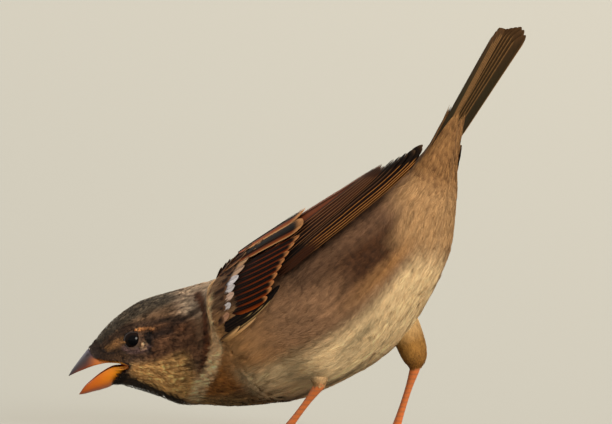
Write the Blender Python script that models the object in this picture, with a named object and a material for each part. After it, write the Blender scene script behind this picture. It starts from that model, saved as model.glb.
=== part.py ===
"""House sparrow, life size, as a still model: it stands on both feet, head low and tail raised.

Metres, +Z up. The trunk points along -X with the bird's left side towards -Y, and the head is
turned to the left. The tables below are laid out from a point on the floor under the trunk, and
at the end all is moved so that the origin is the bottom centre of the bird's bounding box.
Angles round the body are in degrees from the line of the back, positive down its left side.
"""

import math

import bmesh
import bpy
import numpy as np
from mathutils import Matrix, Vector

MM = 0.001
GAP = 0.35 * MM  # clearance between neighbouring solids

# The body as sections from the base of the bill to the root of the tail. Each row holds the
# section's centre (x, y, z), its heading to the left of -X, its pitch below the horizontal, its
# roll to the right, and its reach up, down and to each side of the centre. Millimetres, degrees.
BODY = {
    "bill_base": (-62.5, -15.6, 17.4, 34, 25, 0, 5.8, 5.8, 4.2),
    "forehead": (-60.6, -14.3, 18.6, 34, 25, 0, 7.2, 7.2, 6.4),
    "eyes": (-57.3, -12.1, 19.5, 34, 25, 0, 9.8, 9.8, 8.4),
    "cheeks": (-54.0, -9.9, 20.0, 34, 25, 0, 12.1, 12.1, 9.6),
    "nape": (-49.3, -6.7, 20.6, 32, 22, 0, 14.8, 14.8, 11.4),
    "throat": (-43.2, -3.8, 21.8, 27, 19, 1, 15.7, 15.7, 13.4),
    "neck": (-35.4, -1.6, 22.8, 18, 20, 3, 16.9, 17.0, 15.4),
    "shoulders": (-26.1, -0.2, 24.9, 8, 25, 5, 17.6, 18.6, 17.6),
    "breast": (-17.0, 0.0, 28.6, 2, 30, 7, 18.1, 20.7, 19.6),
    "belly": (4.7, 0.0, 40.6, 0, 33, 8, 18.8, 21.6, 20.2),
    "vent": (21.6, 0.0, 55.1, 0, 39, 8, 14.6, 15.8, 16.0),
    "rump": (29.6, 0.0, 65.8, 0, 48, 6, 8.0, 9.4, 10.4),
    "tail_root": (34.0, 0.0, 73.8, 0, 56, 3, 3.6, 4.9, 6.4),
    "covert_tips": (38.0, 0.0, 83.0, 0, 57, 0, 1.7, 2.4, 4.6),
}
STATIONS = list(BODY)
BODY_SIDES = 28

# The head is laid out from the corner of the mouth: forward along its heading, up, and left.
GAPE = Vector((-56.4, -11.5, 17.7)) * MM
HEAD_HEADING = math.radians(34)
MOUTH_NOTCH = ((-0.8, 0.0), (13.0, 4.7), (16.0, -9.0), (5.4, -8.6))  # forward, up
EYE_RADIUS = 3.1
EYE_CENTRE = (-1.4, 6.7, 5.9)  # forward, up, out
# Rows along each half of the bill: forward, lower edge, upper edge, half width.
UPPER_BILL = (
    (0.2, 0.05, 0.55, 4.5),
    (2.0, 0.35, 1.05, 4.6),
    (5.5, 0.50, 1.85, 4.4),
    (8.5, -0.10, 2.95, 4.1),
    (10.4, -0.75, 4.15, 3.7),
    (11.8, -1.35, 2.45, 3.0),
    (13.4, -2.05, 0.40, 2.0),
    (14.9, -2.80, -1.45, 1.0),
    (15.7, -3.25, -2.70, 0.4),
)
LOWER_BILL = (
    (0.2, -0.80, -0.30, 4.4),
    (1.8, -3.00, -0.45, 4.4),
    (4.3, -5.45, -0.75, 4.1),
    (7.0, -6.55, -2.20, 3.6),
    (9.5, -7.25, -4.10, 2.8),
    (11.5, -7.80, -5.80, 1.8),
    (12.9, -8.15, -7.40, 0.6),
)
BILL_HOLLOW = 0.45  # share of each half's depth that is hollow along its middle

# Each wing is folded in three layers wrapped round the trunk, the innermost first. A row holds a
# layer's front and rear ends, counted in sections along BODY at its upper and lower edge, then the
# angles round the body of its upper edge and lower edge, front and rear, then how far the upper
# edge bows towards the back between them, then its number of feather tips.
FEATHER_LAYER = 0.6 * MM
WING_LIFT = 0.8 * MM
WING_LAYERS = {
    "primaries": ((8.9, 8.6), (12.1, 12.1), (45, 50), (101, 78), 24, 1),
    "secondaries": ((8.4, 8.1), (10.9, 10.1), (19, 18), (103, 91), 0, 3),
    "coverts": ((7.9, 6.95), (9.1, 9.1), (26, 24), (98, 99), 0, 1),
}
WING_TIP_LIFT = 4.0 * MM  # the wing tips stand clear of the rump
WING_CLEARS = 9.8  # the section from which they do

TAIL_LENGTH = 44.0 * MM
TAIL_PITCH = math.radians(56)
TAIL_ROOT = (31.2 * MM, 72.6 * MM)  # x, z
TAIL_ROOT_WIDTH = 11.0 * MM
TAIL_TIP_WIDTH = 19.6 * MM
TAIL_NOTCH = 1.8 * MM
TAIL_THICK = 1.1 * MM
TAIL_ARCH = 1.3 * MM  # how far the tail's sides hang below its middle

# Each leg: knee, calf, ankle and sole in millimetres, and the foot's turn to the left of -X.
LEGS = {
    "left": ((-2.0, -8.0, 25.0), (3.4, -9.6, 18.5), (3.6, -10.4, 14.2), (-7.4, -11.2, 0.0), 8),
    "right": ((14.0, 7.5, 35.0), (20.6, 9.4, 24.8), (20.2, 10.0, 18.6), (12.3, 12.0, 0.0), -6),
}
THIGH_RADII = (4.6, 4.4, 4.0, 3.6, 3.1, 1.8)
SOLE_HEIGHT = 0.72
# Toes: outward turn in degrees, length and claw length in millimetres, number of pads.
TOES = {
    "hallux": (178, 8.0, 6.0, 1),
    "inner": (-30, 9.5, 4.6, 2),
    "middle": (0, 14.0, 5.2, 3),
    "outer": (27, 10.5, 4.4, 4),
}


def catmull(rows, t):
    """The smooth curve through equally spaced rows, at t counted in rows."""
    rows = np.asarray(rows, float)
    i = min(max(int(math.floor(t)), 0), len(rows) - 2)
    f = t - i
    p0 = rows[i - 1] if i > 0 else 2 * rows[0] - rows[1]
    p3 = rows[i + 2] if i + 2 < len(rows) else 2 * rows[-1] - rows[-2]
    p1, p2 = rows[i], rows[i + 1]
    slope1, slope2 = (p2 - p0) / 2, (p3 - p1) / 2
    return (
        (2 * f**3 - 3 * f**2 + 1) * p1
        + (f**3 - 2 * f**2 + f) * slope1
        + (3 * f**2 - 2 * f**3) * p2
        + (f**3 - f**2) * slope2
    )


def station(name):
    return float(STATIONS.index(name))


def section(s):
    """Centre, forward, left and back directions of the body at station s, and its reach up, down, out."""
    row = catmull(list(BODY.values()), s)
    centre = Vector(row[:3]) * MM
    heading, pitch, roll = (math.radians(x) for x in row[3:6])
    level = Vector((-math.cos(heading), -math.sin(heading), 0))
    left = Vector((-level.y, level.x, 0))
    forward = level * math.cos(pitch) - Vector((0, 0, math.sin(pitch)))
    back = forward.cross(left)
    turned_left = left * math.cos(roll) + back * math.sin(roll)
    turned_back = back * math.cos(roll) - left * math.sin(roll)
    return centre, forward, turned_left, turned_back, row[6] * MM, row[7] * MM, row[8] * MM


def body_point(s, angle, lift=0.0):
    """A point on the body's surface, or lift above it."""
    centre, _, left, back, up, down, side = section(s)
    a = math.radians(angle)
    reach = (up if math.cos(a) >= 0 else down) + lift
    return centre + left * (side + lift) * math.sin(a) + back * reach * math.cos(a)


def loft(name, rings):
    """A closed mesh through rings of equal count, with flat ends."""
    bm = bmesh.new()
    rows = [[bm.verts.new(p) for p in ring] for ring in rings]
    count = len(rings[0])
    for near, far in zip(rows, rows[1:]):
        for i in range(count):
            j = (i + 1) % count
            bm.faces.new((near[i], near[j], far[j], far[i]))
    bm.faces.new(rows[0][::-1])
    bm.faces.new(rows[-1])
    bmesh.ops.recalc_face_normals(bm, faces=bm.faces)
    mesh = bpy.data.meshes.new(name)
    bm.to_mesh(mesh)
    bm.free()
    return mesh


def shell(name, across, along, place):
    """A thin closed solid: place(across, along, outer) gives its inner (0) and outer (1) skins."""
    bm = bmesh.new()
    skins = []
    for outer in (0, 1):
        rows = [
            [bm.verts.new(place(i / across, j / along, outer)) for i in range(across + 1)]
            for j in range(along + 1)
        ]
        for near, far in zip(rows, rows[1:]):
            for i in range(across):
                bm.faces.new((near[i], near[i + 1], far[i + 1], far[i]))
        rim = rows[0][:-1] + [row[-1] for row in rows[:-1]]
        rim += rows[-1][:0:-1] + [row[0] for row in rows[:0:-1]]
        skins.append(rim)
    inner, outer = skins
    for i in range(len(inner)):
        j = (i + 1) % len(inner)
        bm.faces.new((inner[i], inner[j], outer[j], outer[i]))
    bmesh.ops.recalc_face_normals(bm, faces=bm.faces)
    mesh = bpy.data.meshes.new(name)
    bm.to_mesh(mesh)
    bm.free()
    return mesh


def material(name, colour, roughness):
    mat = bpy.data.materials.new(name)
    mat.use_nodes = True
    shader = mat.node_tree.nodes["Principled BSDF"]
    shader.inputs["Base Color"].default_value = (*colour, 1.0)
    shader.inputs["Roughness"].default_value = roughness
    shader.inputs["Metallic"].default_value = 0.0
    return mat


def place_object(name, mesh, mat, collection):
    obj = bpy.data.objects.new(name, mesh)
    mesh.materials.clear()
    mesh.materials.append(mat)
    mesh.shade_smooth()
    mesh.set_sharp_from_angle(angle=math.radians(40))
    collection.objects.link(obj)
    return obj


def cutter_from(name, mesh, cutters, grow=0.0):
    """A hidden guide object for Booleans, grown outwards where it must leave a gap."""
    obj = bpy.data.objects.new(name, mesh)
    cutters.objects.link(obj)
    obj.hide_render = True
    obj.display_type = "WIRE"
    if grow:
        swell = obj.modifiers.new("Grow", "DISPLACE")
        swell.strength = grow
        swell.mid_level = 0.0
    return obj


def boolean(obj, other, operation="DIFFERENCE"):
    cut = obj.modifiers.new(f"{operation.title()} {other.name}", "BOOLEAN")
    cut.operation = operation
    cut.solver = "EXACT"
    cut.object = other


def body_rings(start, end, count, sides=BODY_SIDES, lift=0.0):
    steps = np.linspace(start, end, count)
    return [
        [body_point(s, 360.0 * i / sides, lift) for i in range(sides)] for s in steps
    ]


def head_point(forward, up, out=0.0):
    """A point laid out from the corner of the mouth, in millimetres; out is to the bird's left."""
    ahead = Vector((-math.cos(HEAD_HEADING), -math.sin(HEAD_HEADING), 0))
    left = Vector((-ahead.y, ahead.x, 0))
    return GAPE + (ahead * forward + Vector((0, 0, up)) + left * out) * MM


def bill_half(name, rows, hollow_side, steps=11, arc=9):
    """Half of the bill: a crescent section, rounded outside and hollow towards the mouth."""
    rings = []
    for k in range(steps):
        forward, low, high, half = catmull(rows, (len(rows) - 1) * k / (steps - 1))
        depth = high - low
        base = low if hollow_side == "below" else high
        sign = 1 if hollow_side == "below" else -1
        ring = []
        for i in range(arc):
            a = math.pi * i / (arc - 1)
            ring.append((half * math.cos(a), base + sign * depth * math.sin(a) ** 0.8))
        for i in range(1, arc - 1):
            a = math.pi * (1 - i / (arc - 1))
            rise = BILL_HOLLOW * depth * math.sin(a)
            ring.append(((half - 0.35 * min(1, half)) * math.cos(a), base + sign * rise))
        rings.append([head_point(forward, up, out) for out, up in ring])
    return loft(name, rings)


def make_head(parts, cutters, mats):
    """Head and neck, with the mouth's notch and the eye sockets, then bill, tongue and eyes."""
    cut_line = station("nape") + 0.35
    head = place_object(
        "head", loft("head", body_rings(0, cut_line, 18)), mats["plumage_head"], parts
    )
    notch = [[head_point(f, u, out) for f, u in MOUTH_NOTCH] for out in (-14, 14)]
    boolean(head, cutter_from("mouth_notch", loft("mouth_notch", notch), cutters))
    upper = bill_half("bill_upper", UPPER_BILL, "below")
    lower = bill_half("bill_lower", LOWER_BILL, "above")
    bills = {}
    for name, mesh, mat in (
        ("bill_upper", upper, mats["bill_dark"]),
        ("bill_lower", lower, mats["bill_pale"]),
    ):
        bills[name] = place_object(name, mesh, mat, parts)
        boolean(head, cutter_from(f"{name}_room", mesh.copy(), cutters, grow=GAP))
    tongue_rows = [(3.2, -2.2, 1.3), (5.2, -2.85, 1.25), (7.2, -4.15, 1.0), (8.8, -5.3, 0.35)]
    tongue = [
        [
            head_point(f, u + 0.35 * math.sin(a), half * math.cos(a))
            for a in (2 * math.pi * i / 10 for i in range(10))
        ]
        for f, u, half in tongue_rows
    ]
    tongue_mesh = loft("tongue", tongue)
    place_object("tongue", tongue_mesh, mats["mouth"], parts)
    boolean(bills["bill_lower"], cutter_from("tongue_room", tongue_mesh.copy(), cutters, grow=GAP))
    forward, up, out = EYE_CENTRE
    for side, sign in (("left", 1), ("right", -1)):
        centre = head_point(forward, up, sign * out)
        for name, radius in ((f"eye_{side}", EYE_RADIUS), (f"socket_{side}", None)):
            grown = EYE_RADIUS * MM + GAP if radius is None else radius * MM
            bm = bmesh.new()
            bmesh.ops.create_uvsphere(bm, u_segments=16, v_segments=9, radius=grown)
            bmesh.ops.translate(bm, verts=bm.verts, vec=centre)
            mesh = bpy.data.meshes.new(name)
            bm.to_mesh(mesh)
            bm.free()
            if radius is None:
                boolean(head, cutter_from(name, mesh, cutters))
            else:
                place_object(name, mesh, mats["eye"], parts)


def make_trunk(parts, mats):
    """Neck and trunk, parted from the head and from each other by thin flat gaps."""
    slit = 0.05  # in stations, about 0.4 mm along the neck
    neck_start = station("nape") + 0.35 + slit
    neck_end = station("neck") + 0.3
    neck = loft("neck", body_rings(neck_start, neck_end, 9))
    place_object("neck", neck, mats["plumage_head"], parts)
    trunk = loft("trunk", body_rings(neck_end + slit, station("covert_tips"), 24))
    return place_object("trunk", trunk, mats["plumage_body"], parts)


def make_wings(parts, mats):
    """Three layers a side, each a sheet a little further out than the one below it."""
    for side, sign in (("left", 1), ("right", -1)):
        for k, (layer, row) in enumerate(WING_LAYERS.items()):
            lift = WING_LIFT + k * (FEATHER_LAYER + 1.2 * GAP)

            def where(across, along, outer, row=row, lift=lift):
                front, rear, top, bottom, bow, tips = row
                near = front[0] + (front[1] - front[0]) * across
                far = rear[0] + (rear[1] - rear[0]) * across
                scallop = abs(math.sin(math.pi * tips * across)) ** 0.6
                far -= (0.5 if tips == 1 else 0.2) * (1 - scallop)
                s = near + (far - near) * along
                high = top[0] + (top[1] - top[0]) * along - 4 * bow * along * (1 - along)
                low = bottom[0] + (bottom[1] - bottom[0]) * along
                angle = high + (low - high) * across
                clear = max(0.0, s - WING_CLEARS) / (12.0 - WING_CLEARS)
                raised = lift + FEATHER_LAYER * outer + WING_TIP_LIFT * clear**1.2
                return body_point(s, sign * angle, raised)

            name = f"wing_{side}_{layer}"
            place_object(name, shell(name, 10, 10, where), mats[f"wing_{layer}"], parts)


def make_tail(parts, cutters, trunk, mats):
    """The folded tail: twelve feathers stacked under the middle pair, arched like a low roof."""
    run = Vector((math.cos(TAIL_PITCH), 0, math.sin(TAIL_PITCH)))
    up = Vector((-math.sin(TAIL_PITCH), 0, math.cos(TAIL_PITCH)))
    root = Vector((TAIL_ROOT[0], 0, TAIL_ROOT[1]))

    def where(across, along, outer, room=0.0):
        side = 2 * across - 1
        width = TAIL_ROOT_WIDTH + (TAIL_TIP_WIDTH - TAIL_ROOT_WIDTH) * along**0.8 + 2 * room
        length = TAIL_LENGTH - TAIL_NOTCH * (1 - abs(side)) ** 1.3
        length -= 3.0 * MM * (max(0.0, abs(side) - 0.6) / 0.4) ** 1.5
        hang = TAIL_ARCH * side * side * (0.5 + 0.5 * along)
        y = Vector((0, -width / 2 * side, 0))
        out = (TAIL_THICK / 2 + room) * (2 * outer - 1)
        return root + run * ((length + room) * along - room) + y + up * (out - hang)

    place_object("tail", shell("tail", 12, 8, where), mats["tail"], parts)
    room = shell("tail_room", 12, 8, lambda across, along, outer: where(across, along, outer, GAP))
    room = cutter_from("tail_room", room, cutters)
    boolean(trunk, room)


def tube(name, path, radii, sides=10):
    """A tapering tube along a path of points, ending in flat caps."""
    path = [Vector(p) for p in path]
    rings = []
    for i, point in enumerate(path):
        ahead = path[min(i + 1, len(path) - 1)] - path[max(i - 1, 0)]
        frame = ahead.to_track_quat("Z", "Y").to_matrix()
        rings.append(
            [
                point * MM
                + frame @ Vector((math.cos(a), math.sin(a), 0)) * radii[i] * MM
                for a in (2 * math.pi * k / sides for k in range(sides))
            ]
        )
    return loft(name, rings)


def make_leg(side, parts, cutters, trunk_mesh, mats):
    """Feathered thigh, scaled shank with four toes, and four claws."""
    knee, calf, ankle, sole = (Vector(p) for p in LEGS[side][:4])
    turn = LEGS[side][4]
    outward = 1 if side == "left" else -1
    bend = [knee.lerp(calf, f).lerp(calf.lerp(ankle, f), f) for f in (0, 0.25, 0.5, 0.72, 0.88, 0.99)]
    thigh = tube(f"thigh_{side}", bend, THIGH_RADII, sides=16)
    thigh = place_object(f"thigh_{side}", thigh, mats["plumage_body"], parts)
    boolean(thigh, cutter_from(f"thigh_{side}_room", trunk_mesh.copy(), cutters, grow=GAP))

    shank = (sole + Vector((0, 0, 1.0))) - ankle
    shank_path = [ankle + shank * f for f in (-0.06, 0.04, 0.3, 0.6, 0.85, 0.98)]
    shank = tube(f"shank_{side}", shank_path, (1.25, 1.35, 0.95, 0.9, 1.1, 1.35))
    boolean(thigh, cutter_from(f"shank_{side}_room", shank.copy(), cutters, grow=GAP))
    pieces = [shank]
    heading = math.radians(turn)
    for toe, (spread, length, claw, pads) in TOES.items():
        a = heading + outward * math.radians(spread)
        ahead = Vector((-math.cos(a), -math.sin(a), 0))
        base = sole + Vector((0, 0, SOLE_HEIGHT))
        steps = 2 * pads + 2
        path, radii = [], []
        for i in range(steps + 1):
            f = i / steps
            bump = 0.10 * math.cos(2 * math.pi * pads * f)
            path.append(base + ahead * (length * f - 0.2) + Vector((0, 0, 0.12 * f)))
            radii.append((1.0 - 0.22 * f) * (1 - bump))
        pieces.append(tube(f"toe_{toe}_{side}", path, radii, sides=8))
        claw_path, claw_radii = [], []
        for i in range(5):
            f = i / 4
            rise = 0.95 * math.sin(math.pi * min(1, f * 1.05)) - 0.55 * f
            claw_path.append(
                base + ahead * (length + 0.12 + claw * f) + Vector((0, 0, 0.12 + rise * claw / 5 + 0.2 * f))
            )
            claw_radii.append(0.62 - 0.36 * f)
        claw_path[0] -= Vector((0, 0, 0.05))
        mesh = tube(f"claw_{toe}_{side}", claw_path, claw_radii, sides=7)
        place_object(f"claw_{toe}_{side}", mesh, mats["claw"], parts)

    foot = place_object(f"foot_{side}", pieces[0], mats["leg"], parts)
    for piece in pieces[1:]:
        boolean(foot, cutter_from(piece.name, piece, cutters), "UNION")
    bm = bmesh.new()
    bmesh.ops.create_cube(bm, size=80 * MM)
    bmesh.ops.translate(bm, verts=bm.verts, vec=sole * MM - Vector((0, 0, 40 * MM)))
    floor = bpy.data.meshes.new(f"floor_{side}")
    bm.to_mesh(floor)
    bm.free()
    boolean(foot, cutter_from(f"floor_{side}", floor, cutters))


def centre_on_floor(parts, cutters):
    """Move everything so that the origin lies on the floor under the middle of the bird."""
    bpy.context.view_layer.update()
    shown = bpy.context.evaluated_depsgraph_get()
    low, high = np.full(3, np.inf), np.full(3, -np.inf)
    for obj in parts.objects:
        mesh = obj.evaluated_get(shown).to_mesh()
        points = np.empty(len(mesh.vertices) * 3)
        mesh.vertices.foreach_get("co", points)
        points = points.reshape(-1, 3)
        low, high = np.minimum(low, points.min(0)), np.maximum(high, points.max(0))
    shift = Matrix.Translation((-(low[0] + high[0]) / 2, -(low[1] + high[1]) / 2, -low[2]))
    for obj in [*parts.objects, *cutters.objects]:
        obj.data.transform(shift)
    print("moved by", [round(x / MM, 3) for x in shift.translation], "mm")


def main():
    for obj in list(bpy.data.objects):
        bpy.data.objects.remove(obj)
    parts = bpy.data.collections.new("House sparrow")
    cutters = bpy.data.collections.new("Cutters")
    for collection in (parts, cutters):
        bpy.context.scene.collection.children.link(collection)
    mats = {
        "plumage_head": material("plumage_head", (0.20, 0.14, 0.10), 0.85),
        "plumage_body": material("plumage_body", (0.42, 0.29, 0.17), 0.85),
        "bill_dark": material("bill_dark", (0.16, 0.12, 0.12), 0.35),
        "bill_pale": material("bill_pale", (0.62, 0.30, 0.10), 0.35),
        "mouth": material("mouth", (0.45, 0.10, 0.06), 0.4),
        "eye": material("eye", (0.01, 0.007, 0.005), 0.05),
        "wing_primaries": material("wing_primaries", (0.10, 0.07, 0.05), 0.7),
        "wing_secondaries": material("wing_secondaries", (0.20, 0.10, 0.05), 0.7),
        "wing_coverts": material("wing_coverts", (0.16, 0.07, 0.03), 0.7),
        "tail": material("tail", (0.16, 0.12, 0.09), 0.7),
        "leg": material("leg", (0.78, 0.28, 0.09), 0.5),
        "claw": material("claw", (0.12, 0.07, 0.04), 0.4),
    }
    make_head(parts, cutters, mats)
    trunk = make_trunk(parts, mats)
    trunk_mesh = trunk.data.copy()
    make_wings(parts, mats)
    make_tail(parts, cutters, trunk, mats)
    for side in LEGS:
        make_leg(side, parts, cutters, trunk_mesh, mats)
    centre_on_floor(parts, cutters)


main()
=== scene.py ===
"""House sparrow: skin, plumage, flight feathers, bill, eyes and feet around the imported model.

Shapes are laid out in millimetres on the same body sections as the solids, moved to where the
frame says that they stand. Angles round the body are in degrees from the line of the back.
"""

import math

import bpy
import numpy as np
from mathutils import Matrix, Vector, kdtree


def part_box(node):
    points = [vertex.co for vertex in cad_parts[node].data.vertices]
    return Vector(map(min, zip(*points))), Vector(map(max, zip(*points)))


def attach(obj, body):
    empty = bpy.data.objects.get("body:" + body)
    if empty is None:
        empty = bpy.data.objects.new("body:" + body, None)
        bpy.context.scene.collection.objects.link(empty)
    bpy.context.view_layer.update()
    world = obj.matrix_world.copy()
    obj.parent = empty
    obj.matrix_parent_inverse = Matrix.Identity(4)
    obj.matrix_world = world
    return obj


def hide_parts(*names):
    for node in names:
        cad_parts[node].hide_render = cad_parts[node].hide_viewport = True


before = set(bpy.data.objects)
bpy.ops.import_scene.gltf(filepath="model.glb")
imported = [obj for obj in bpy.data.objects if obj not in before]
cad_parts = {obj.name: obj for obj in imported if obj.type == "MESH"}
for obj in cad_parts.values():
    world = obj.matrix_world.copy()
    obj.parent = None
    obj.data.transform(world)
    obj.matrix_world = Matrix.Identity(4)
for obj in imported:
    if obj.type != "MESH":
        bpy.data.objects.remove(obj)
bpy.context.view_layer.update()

MM = 0.001
rng = np.random.default_rng(7)

# Sections: centre x, y, z, heading, pitch, roll, reach up, down and to each side.
BODY = np.array([
    (-62.5, -15.6, 17.4, 34, 25, 0, 5.8, 5.8, 4.2),  # base of the bill
    (-60.6, -14.3, 18.6, 34, 25, 0, 7.2, 7.2, 6.4),
    (-57.3, -12.1, 19.5, 34, 25, 0, 9.8, 9.8, 8.4),
    (-54.0, -9.9, 20.0, 34, 25, 0, 12.1, 12.1, 9.6),
    (-49.3, -6.7, 20.6, 32, 22, 0, 14.8, 14.8, 11.4),
    (-43.2, -3.8, 21.8, 27, 19, 1, 15.7, 15.7, 13.4),
    (-35.4, -1.6, 22.8, 18, 20, 3, 16.9, 17.0, 15.4),
    (-26.1, -0.2, 24.9, 8, 25, 5, 17.6, 18.6, 17.6),
    (-17.0, 0.0, 28.6, 2, 30, 7, 18.1, 20.7, 19.6),
    (4.7, 0.0, 40.6, 0, 33, 8, 18.8, 21.6, 20.2),
    (21.6, 0.0, 55.1, 0, 39, 8, 14.6, 15.8, 16.0),
    (29.6, 0.0, 65.8, 0, 48, 6, 8.0, 9.4, 10.4),
    (34.0, 0.0, 73.8, 0, 56, 3, 3.6, 4.9, 6.4),
    (38.0, 0.0, 83.0, 0, 57, 0, 1.7, 2.4, 4.6),  # tips of the tail coverts
])
LAST = len(BODY) - 1

GAPE = np.array([-56.4, -11.5, 17.7])  # the corner of the mouth
HEADING = math.radians(34)
EYE = (-1.4, 6.7, 5.9)  # from the corner of the mouth: forward, up, out
EYE_RADIUS = 3.1
EYE_OPENING = 2.25
SIDES = {"left": 1, "right": -1}  # which way along LEFT, and round the body


def head_axes():
    """The head's own directions: ahead, up and left."""
    ahead = np.array([-math.cos(HEADING), -math.sin(HEADING), 0.0])
    left = np.array([-ahead[1], ahead[0], 0.0])
    return ahead, np.array([0.0, 0.0, 1.0]), left


AHEAD, UP, LEFT = head_axes()
eye_low, eye_high = (np.array(c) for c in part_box("eye_left"))
SHIFT = (eye_low + eye_high) / 2 / MM - (GAPE + AHEAD * EYE[0] + UP * EYE[1] + LEFT * EYE[2])
BODY[:, :3] += SHIFT
GAPE = GAPE + SHIFT


# Small mathematics


def smooth(low, high, x):
    """A soft step from 0 at low to 1 at high."""
    t = np.clip((np.asarray(x, float) - low) / (high - low), 0, 1)
    return t * t * (3 - 2 * t)


def unit(v):
    return v / np.maximum(np.linalg.norm(v, axis=-1, keepdims=True), 1e-9)


def curve(rows, t):
    """The smooth curve through equally spaced rows, at an array of places counted in rows."""
    rows = np.asarray(rows, float)
    t = np.asarray(t, float)
    padded = np.vstack([2 * rows[0] - rows[1], rows, 2 * rows[-1] - rows[-2]])
    i = np.clip(np.floor(t).astype(int), 0, len(rows) - 2)
    f = (t - i)[..., None]
    p0, p1, p2, p3 = (padded[i + k] for k in range(4))
    m1, m2 = (p2 - p0) / 2, (p3 - p1) / 2
    return (
        (2 * f**3 - 3 * f**2 + 1) * p1
        + (f**3 - 2 * f**2 + f) * m1
        + (3 * f**2 - 2 * f**3) * p2
        + (f**3 - f**2) * m2
    )


def linear(rgb):
    """Display colours, 0 to 255, as linear light."""
    c = np.asarray(rgb, float) / 255
    return np.where(c <= 0.04045, c / 12.92, ((c + 0.055) / 1.055) ** 2.4)


def blend(t, *stops):
    """Colours in linear light between stops of (place, display colour)."""
    places = [p for p, _ in stops]
    colours = np.array([linear(c) for _, c in stops])
    return np.stack([np.interp(t, places, colours[:, k]) for k in range(3)], axis=-1)


def over(base, rgb, weight):
    """The base colour with another laid over it."""
    weight = np.clip(weight, 0, 1)[..., None]
    return base * (1 - weight) + linear(rgb) * weight


def from_back(a):
    """Degrees from the line of the back, to either side."""
    return np.abs((a + 180) % 360 - 180)


class Surface:
    """A tube-like surface kept as a fine table of places over station and angle."""

    def __init__(self, table, last):
        self.table = table
        self.last = last
        self.rows, self.cols = table.shape[:2]
        wrapped = np.concatenate([table[:, -1:], table, table[:, :1]], axis=1)
        along = np.gradient(table, axis=0) * (self.rows - 1) / last
        around = ((wrapped[:, 2:] - wrapped[:, :-2]) / 2) * self.cols / 360
        self.normals = unit(np.cross(around, along))
        self.per_station = np.linalg.norm(along, axis=-1)
        self.ends = [np.broadcast_to((r + r.mean(axis=0)) / 2, table.shape) for r in along[[0, -1]]]
        self.per_degree = np.linalg.norm(around, axis=-1)

    def look(self, layer, s, a):
        """A layer of the table at any station and angle."""
        x = np.clip(np.asarray(s, float) / self.last, 0, 1) * (self.rows - 1)
        y = (np.asarray(a, float) % 360) / 360 * self.cols
        i = np.minimum(np.floor(x).astype(int), self.rows - 2)
        j = np.floor(y).astype(int) % self.cols
        k = (j + 1) % self.cols
        fx, fy = x - i, y - np.floor(y)
        if layer.ndim == 3:
            fx, fy = fx[..., None], fy[..., None]
        return (layer[i, j] * (1 - fx) + layer[i + 1, j] * fx) * (1 - fy) + (
            layer[i, k] * (1 - fx) + layer[i + 1, k] * fx
        ) * fy

    def at(self, s, a, lift=0.0):
        """Places over the surface, which runs on straight past its two ends."""
        lift = np.asarray(lift, float)[..., None]
        s = np.asarray(s, float)
        past = (s - np.clip(s, 0, self.last))[..., None]
        place = self.look(self.table, s, a) + self.look(self.normals, s, a) * lift
        return place + past * np.where(past < 0, *(self.look(run, s, a) for run in self.ends))

    def normal(self, s, a):
        return unit(self.look(self.normals, s, a))

    def steps(self, s, a):
        """Millimetres for each station and for each degree."""
        return self.look(self.per_station, s, a), self.look(self.per_degree, s, a)

    def rings(self, rows, cols):
        """Stations and angles of so many rings with so many points each."""
        return np.meshgrid(np.linspace(0, self.last, rows), np.arange(cols) * 360 / cols, indexing="ij")


class Streaks:
    """Soft random streaks along the body, so many stations long and so many degrees across."""

    MARGIN = 1.5  # stations past either end of the body

    def __init__(self, length, across, amount):
        self.length = length
        self.count = int(360 / across)
        self.table = rng.normal(0, amount, (int((LAST + 2 * self.MARGIN) / length) + 3, self.count))
        self.phase = rng.uniform(0, 1, self.count)

    def at(self, s, a):
        y = (a % 360) / 360 * self.count
        share_of_next = y - np.floor(y)
        total = 0.0
        for step, weight in ((0, 1 - share_of_next), (1, share_of_next)):
            column = (np.floor(y).astype(int) + step) % self.count
            x = (s + self.MARGIN) / self.length + self.phase[column]
            x = np.clip(x, 0, len(self.table) - 1.01)
            row = np.floor(x).astype(int)
            f = smooth(0, 1, x - row)
            value = self.table[row, column] * (1 - f) + self.table[row + 1, column] * f
            total = total + weight * value
        return total


def body_surface():
    """The head, neck and trunk, without the tail feathers."""
    s = np.linspace(0, LAST, 40 * LAST + 1)
    rows = curve(BODY, s)
    heading, pitch, roll = np.radians(rows[:, 3:6]).T[..., None]
    level = np.hstack([-np.cos(heading), -np.sin(heading), 0 * heading])
    left = np.stack([-level[:, 1], level[:, 0], level[:, 2]], axis=1)
    forward = level * np.cos(pitch) - np.sin(pitch) * UP
    back = np.cross(forward, left)
    turned_left = left * np.cos(roll) + back * np.sin(roll)
    turned_back = back * np.cos(roll) - left * np.sin(roll)
    a = np.radians(np.arange(360))[None, :, None]
    reach = np.where(np.cos(a) >= 0, rows[:, None, 6:7], rows[:, None, 7:8])
    table = rows[:, None, :3] + turned_back[:, None] * reach * np.cos(a)
    return Surface(table + turned_left[:, None] * rows[:, None, 8:9] * np.sin(a), LAST)


def tube_table(path, radii, rows=60, cols=48):
    """Rings round a smooth path, as a table for Surface."""
    t = np.linspace(0, len(path) - 1, rows)
    centre = curve(path, t)
    radius = curve(np.asarray(radii, float)[:, None], t)[..., 0]
    ahead = unit(np.gradient(centre, axis=0))
    side = unit(np.cross(ahead, [0.0, 1.0, 0.03]))
    other = np.cross(ahead, side)
    a = np.radians(np.arange(cols) * 360 / cols)[None, :, None]
    ring = side[:, None] * np.cos(a) + other[:, None] * np.sin(a)
    return centre[:, None] + ring * radius[:, None, None]


body = body_surface()


def head_place(points):
    """Forward, up and out from the corner of the mouth."""
    d = points - GAPE
    return d @ AHEAD, d @ UP, d @ LEFT


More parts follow.
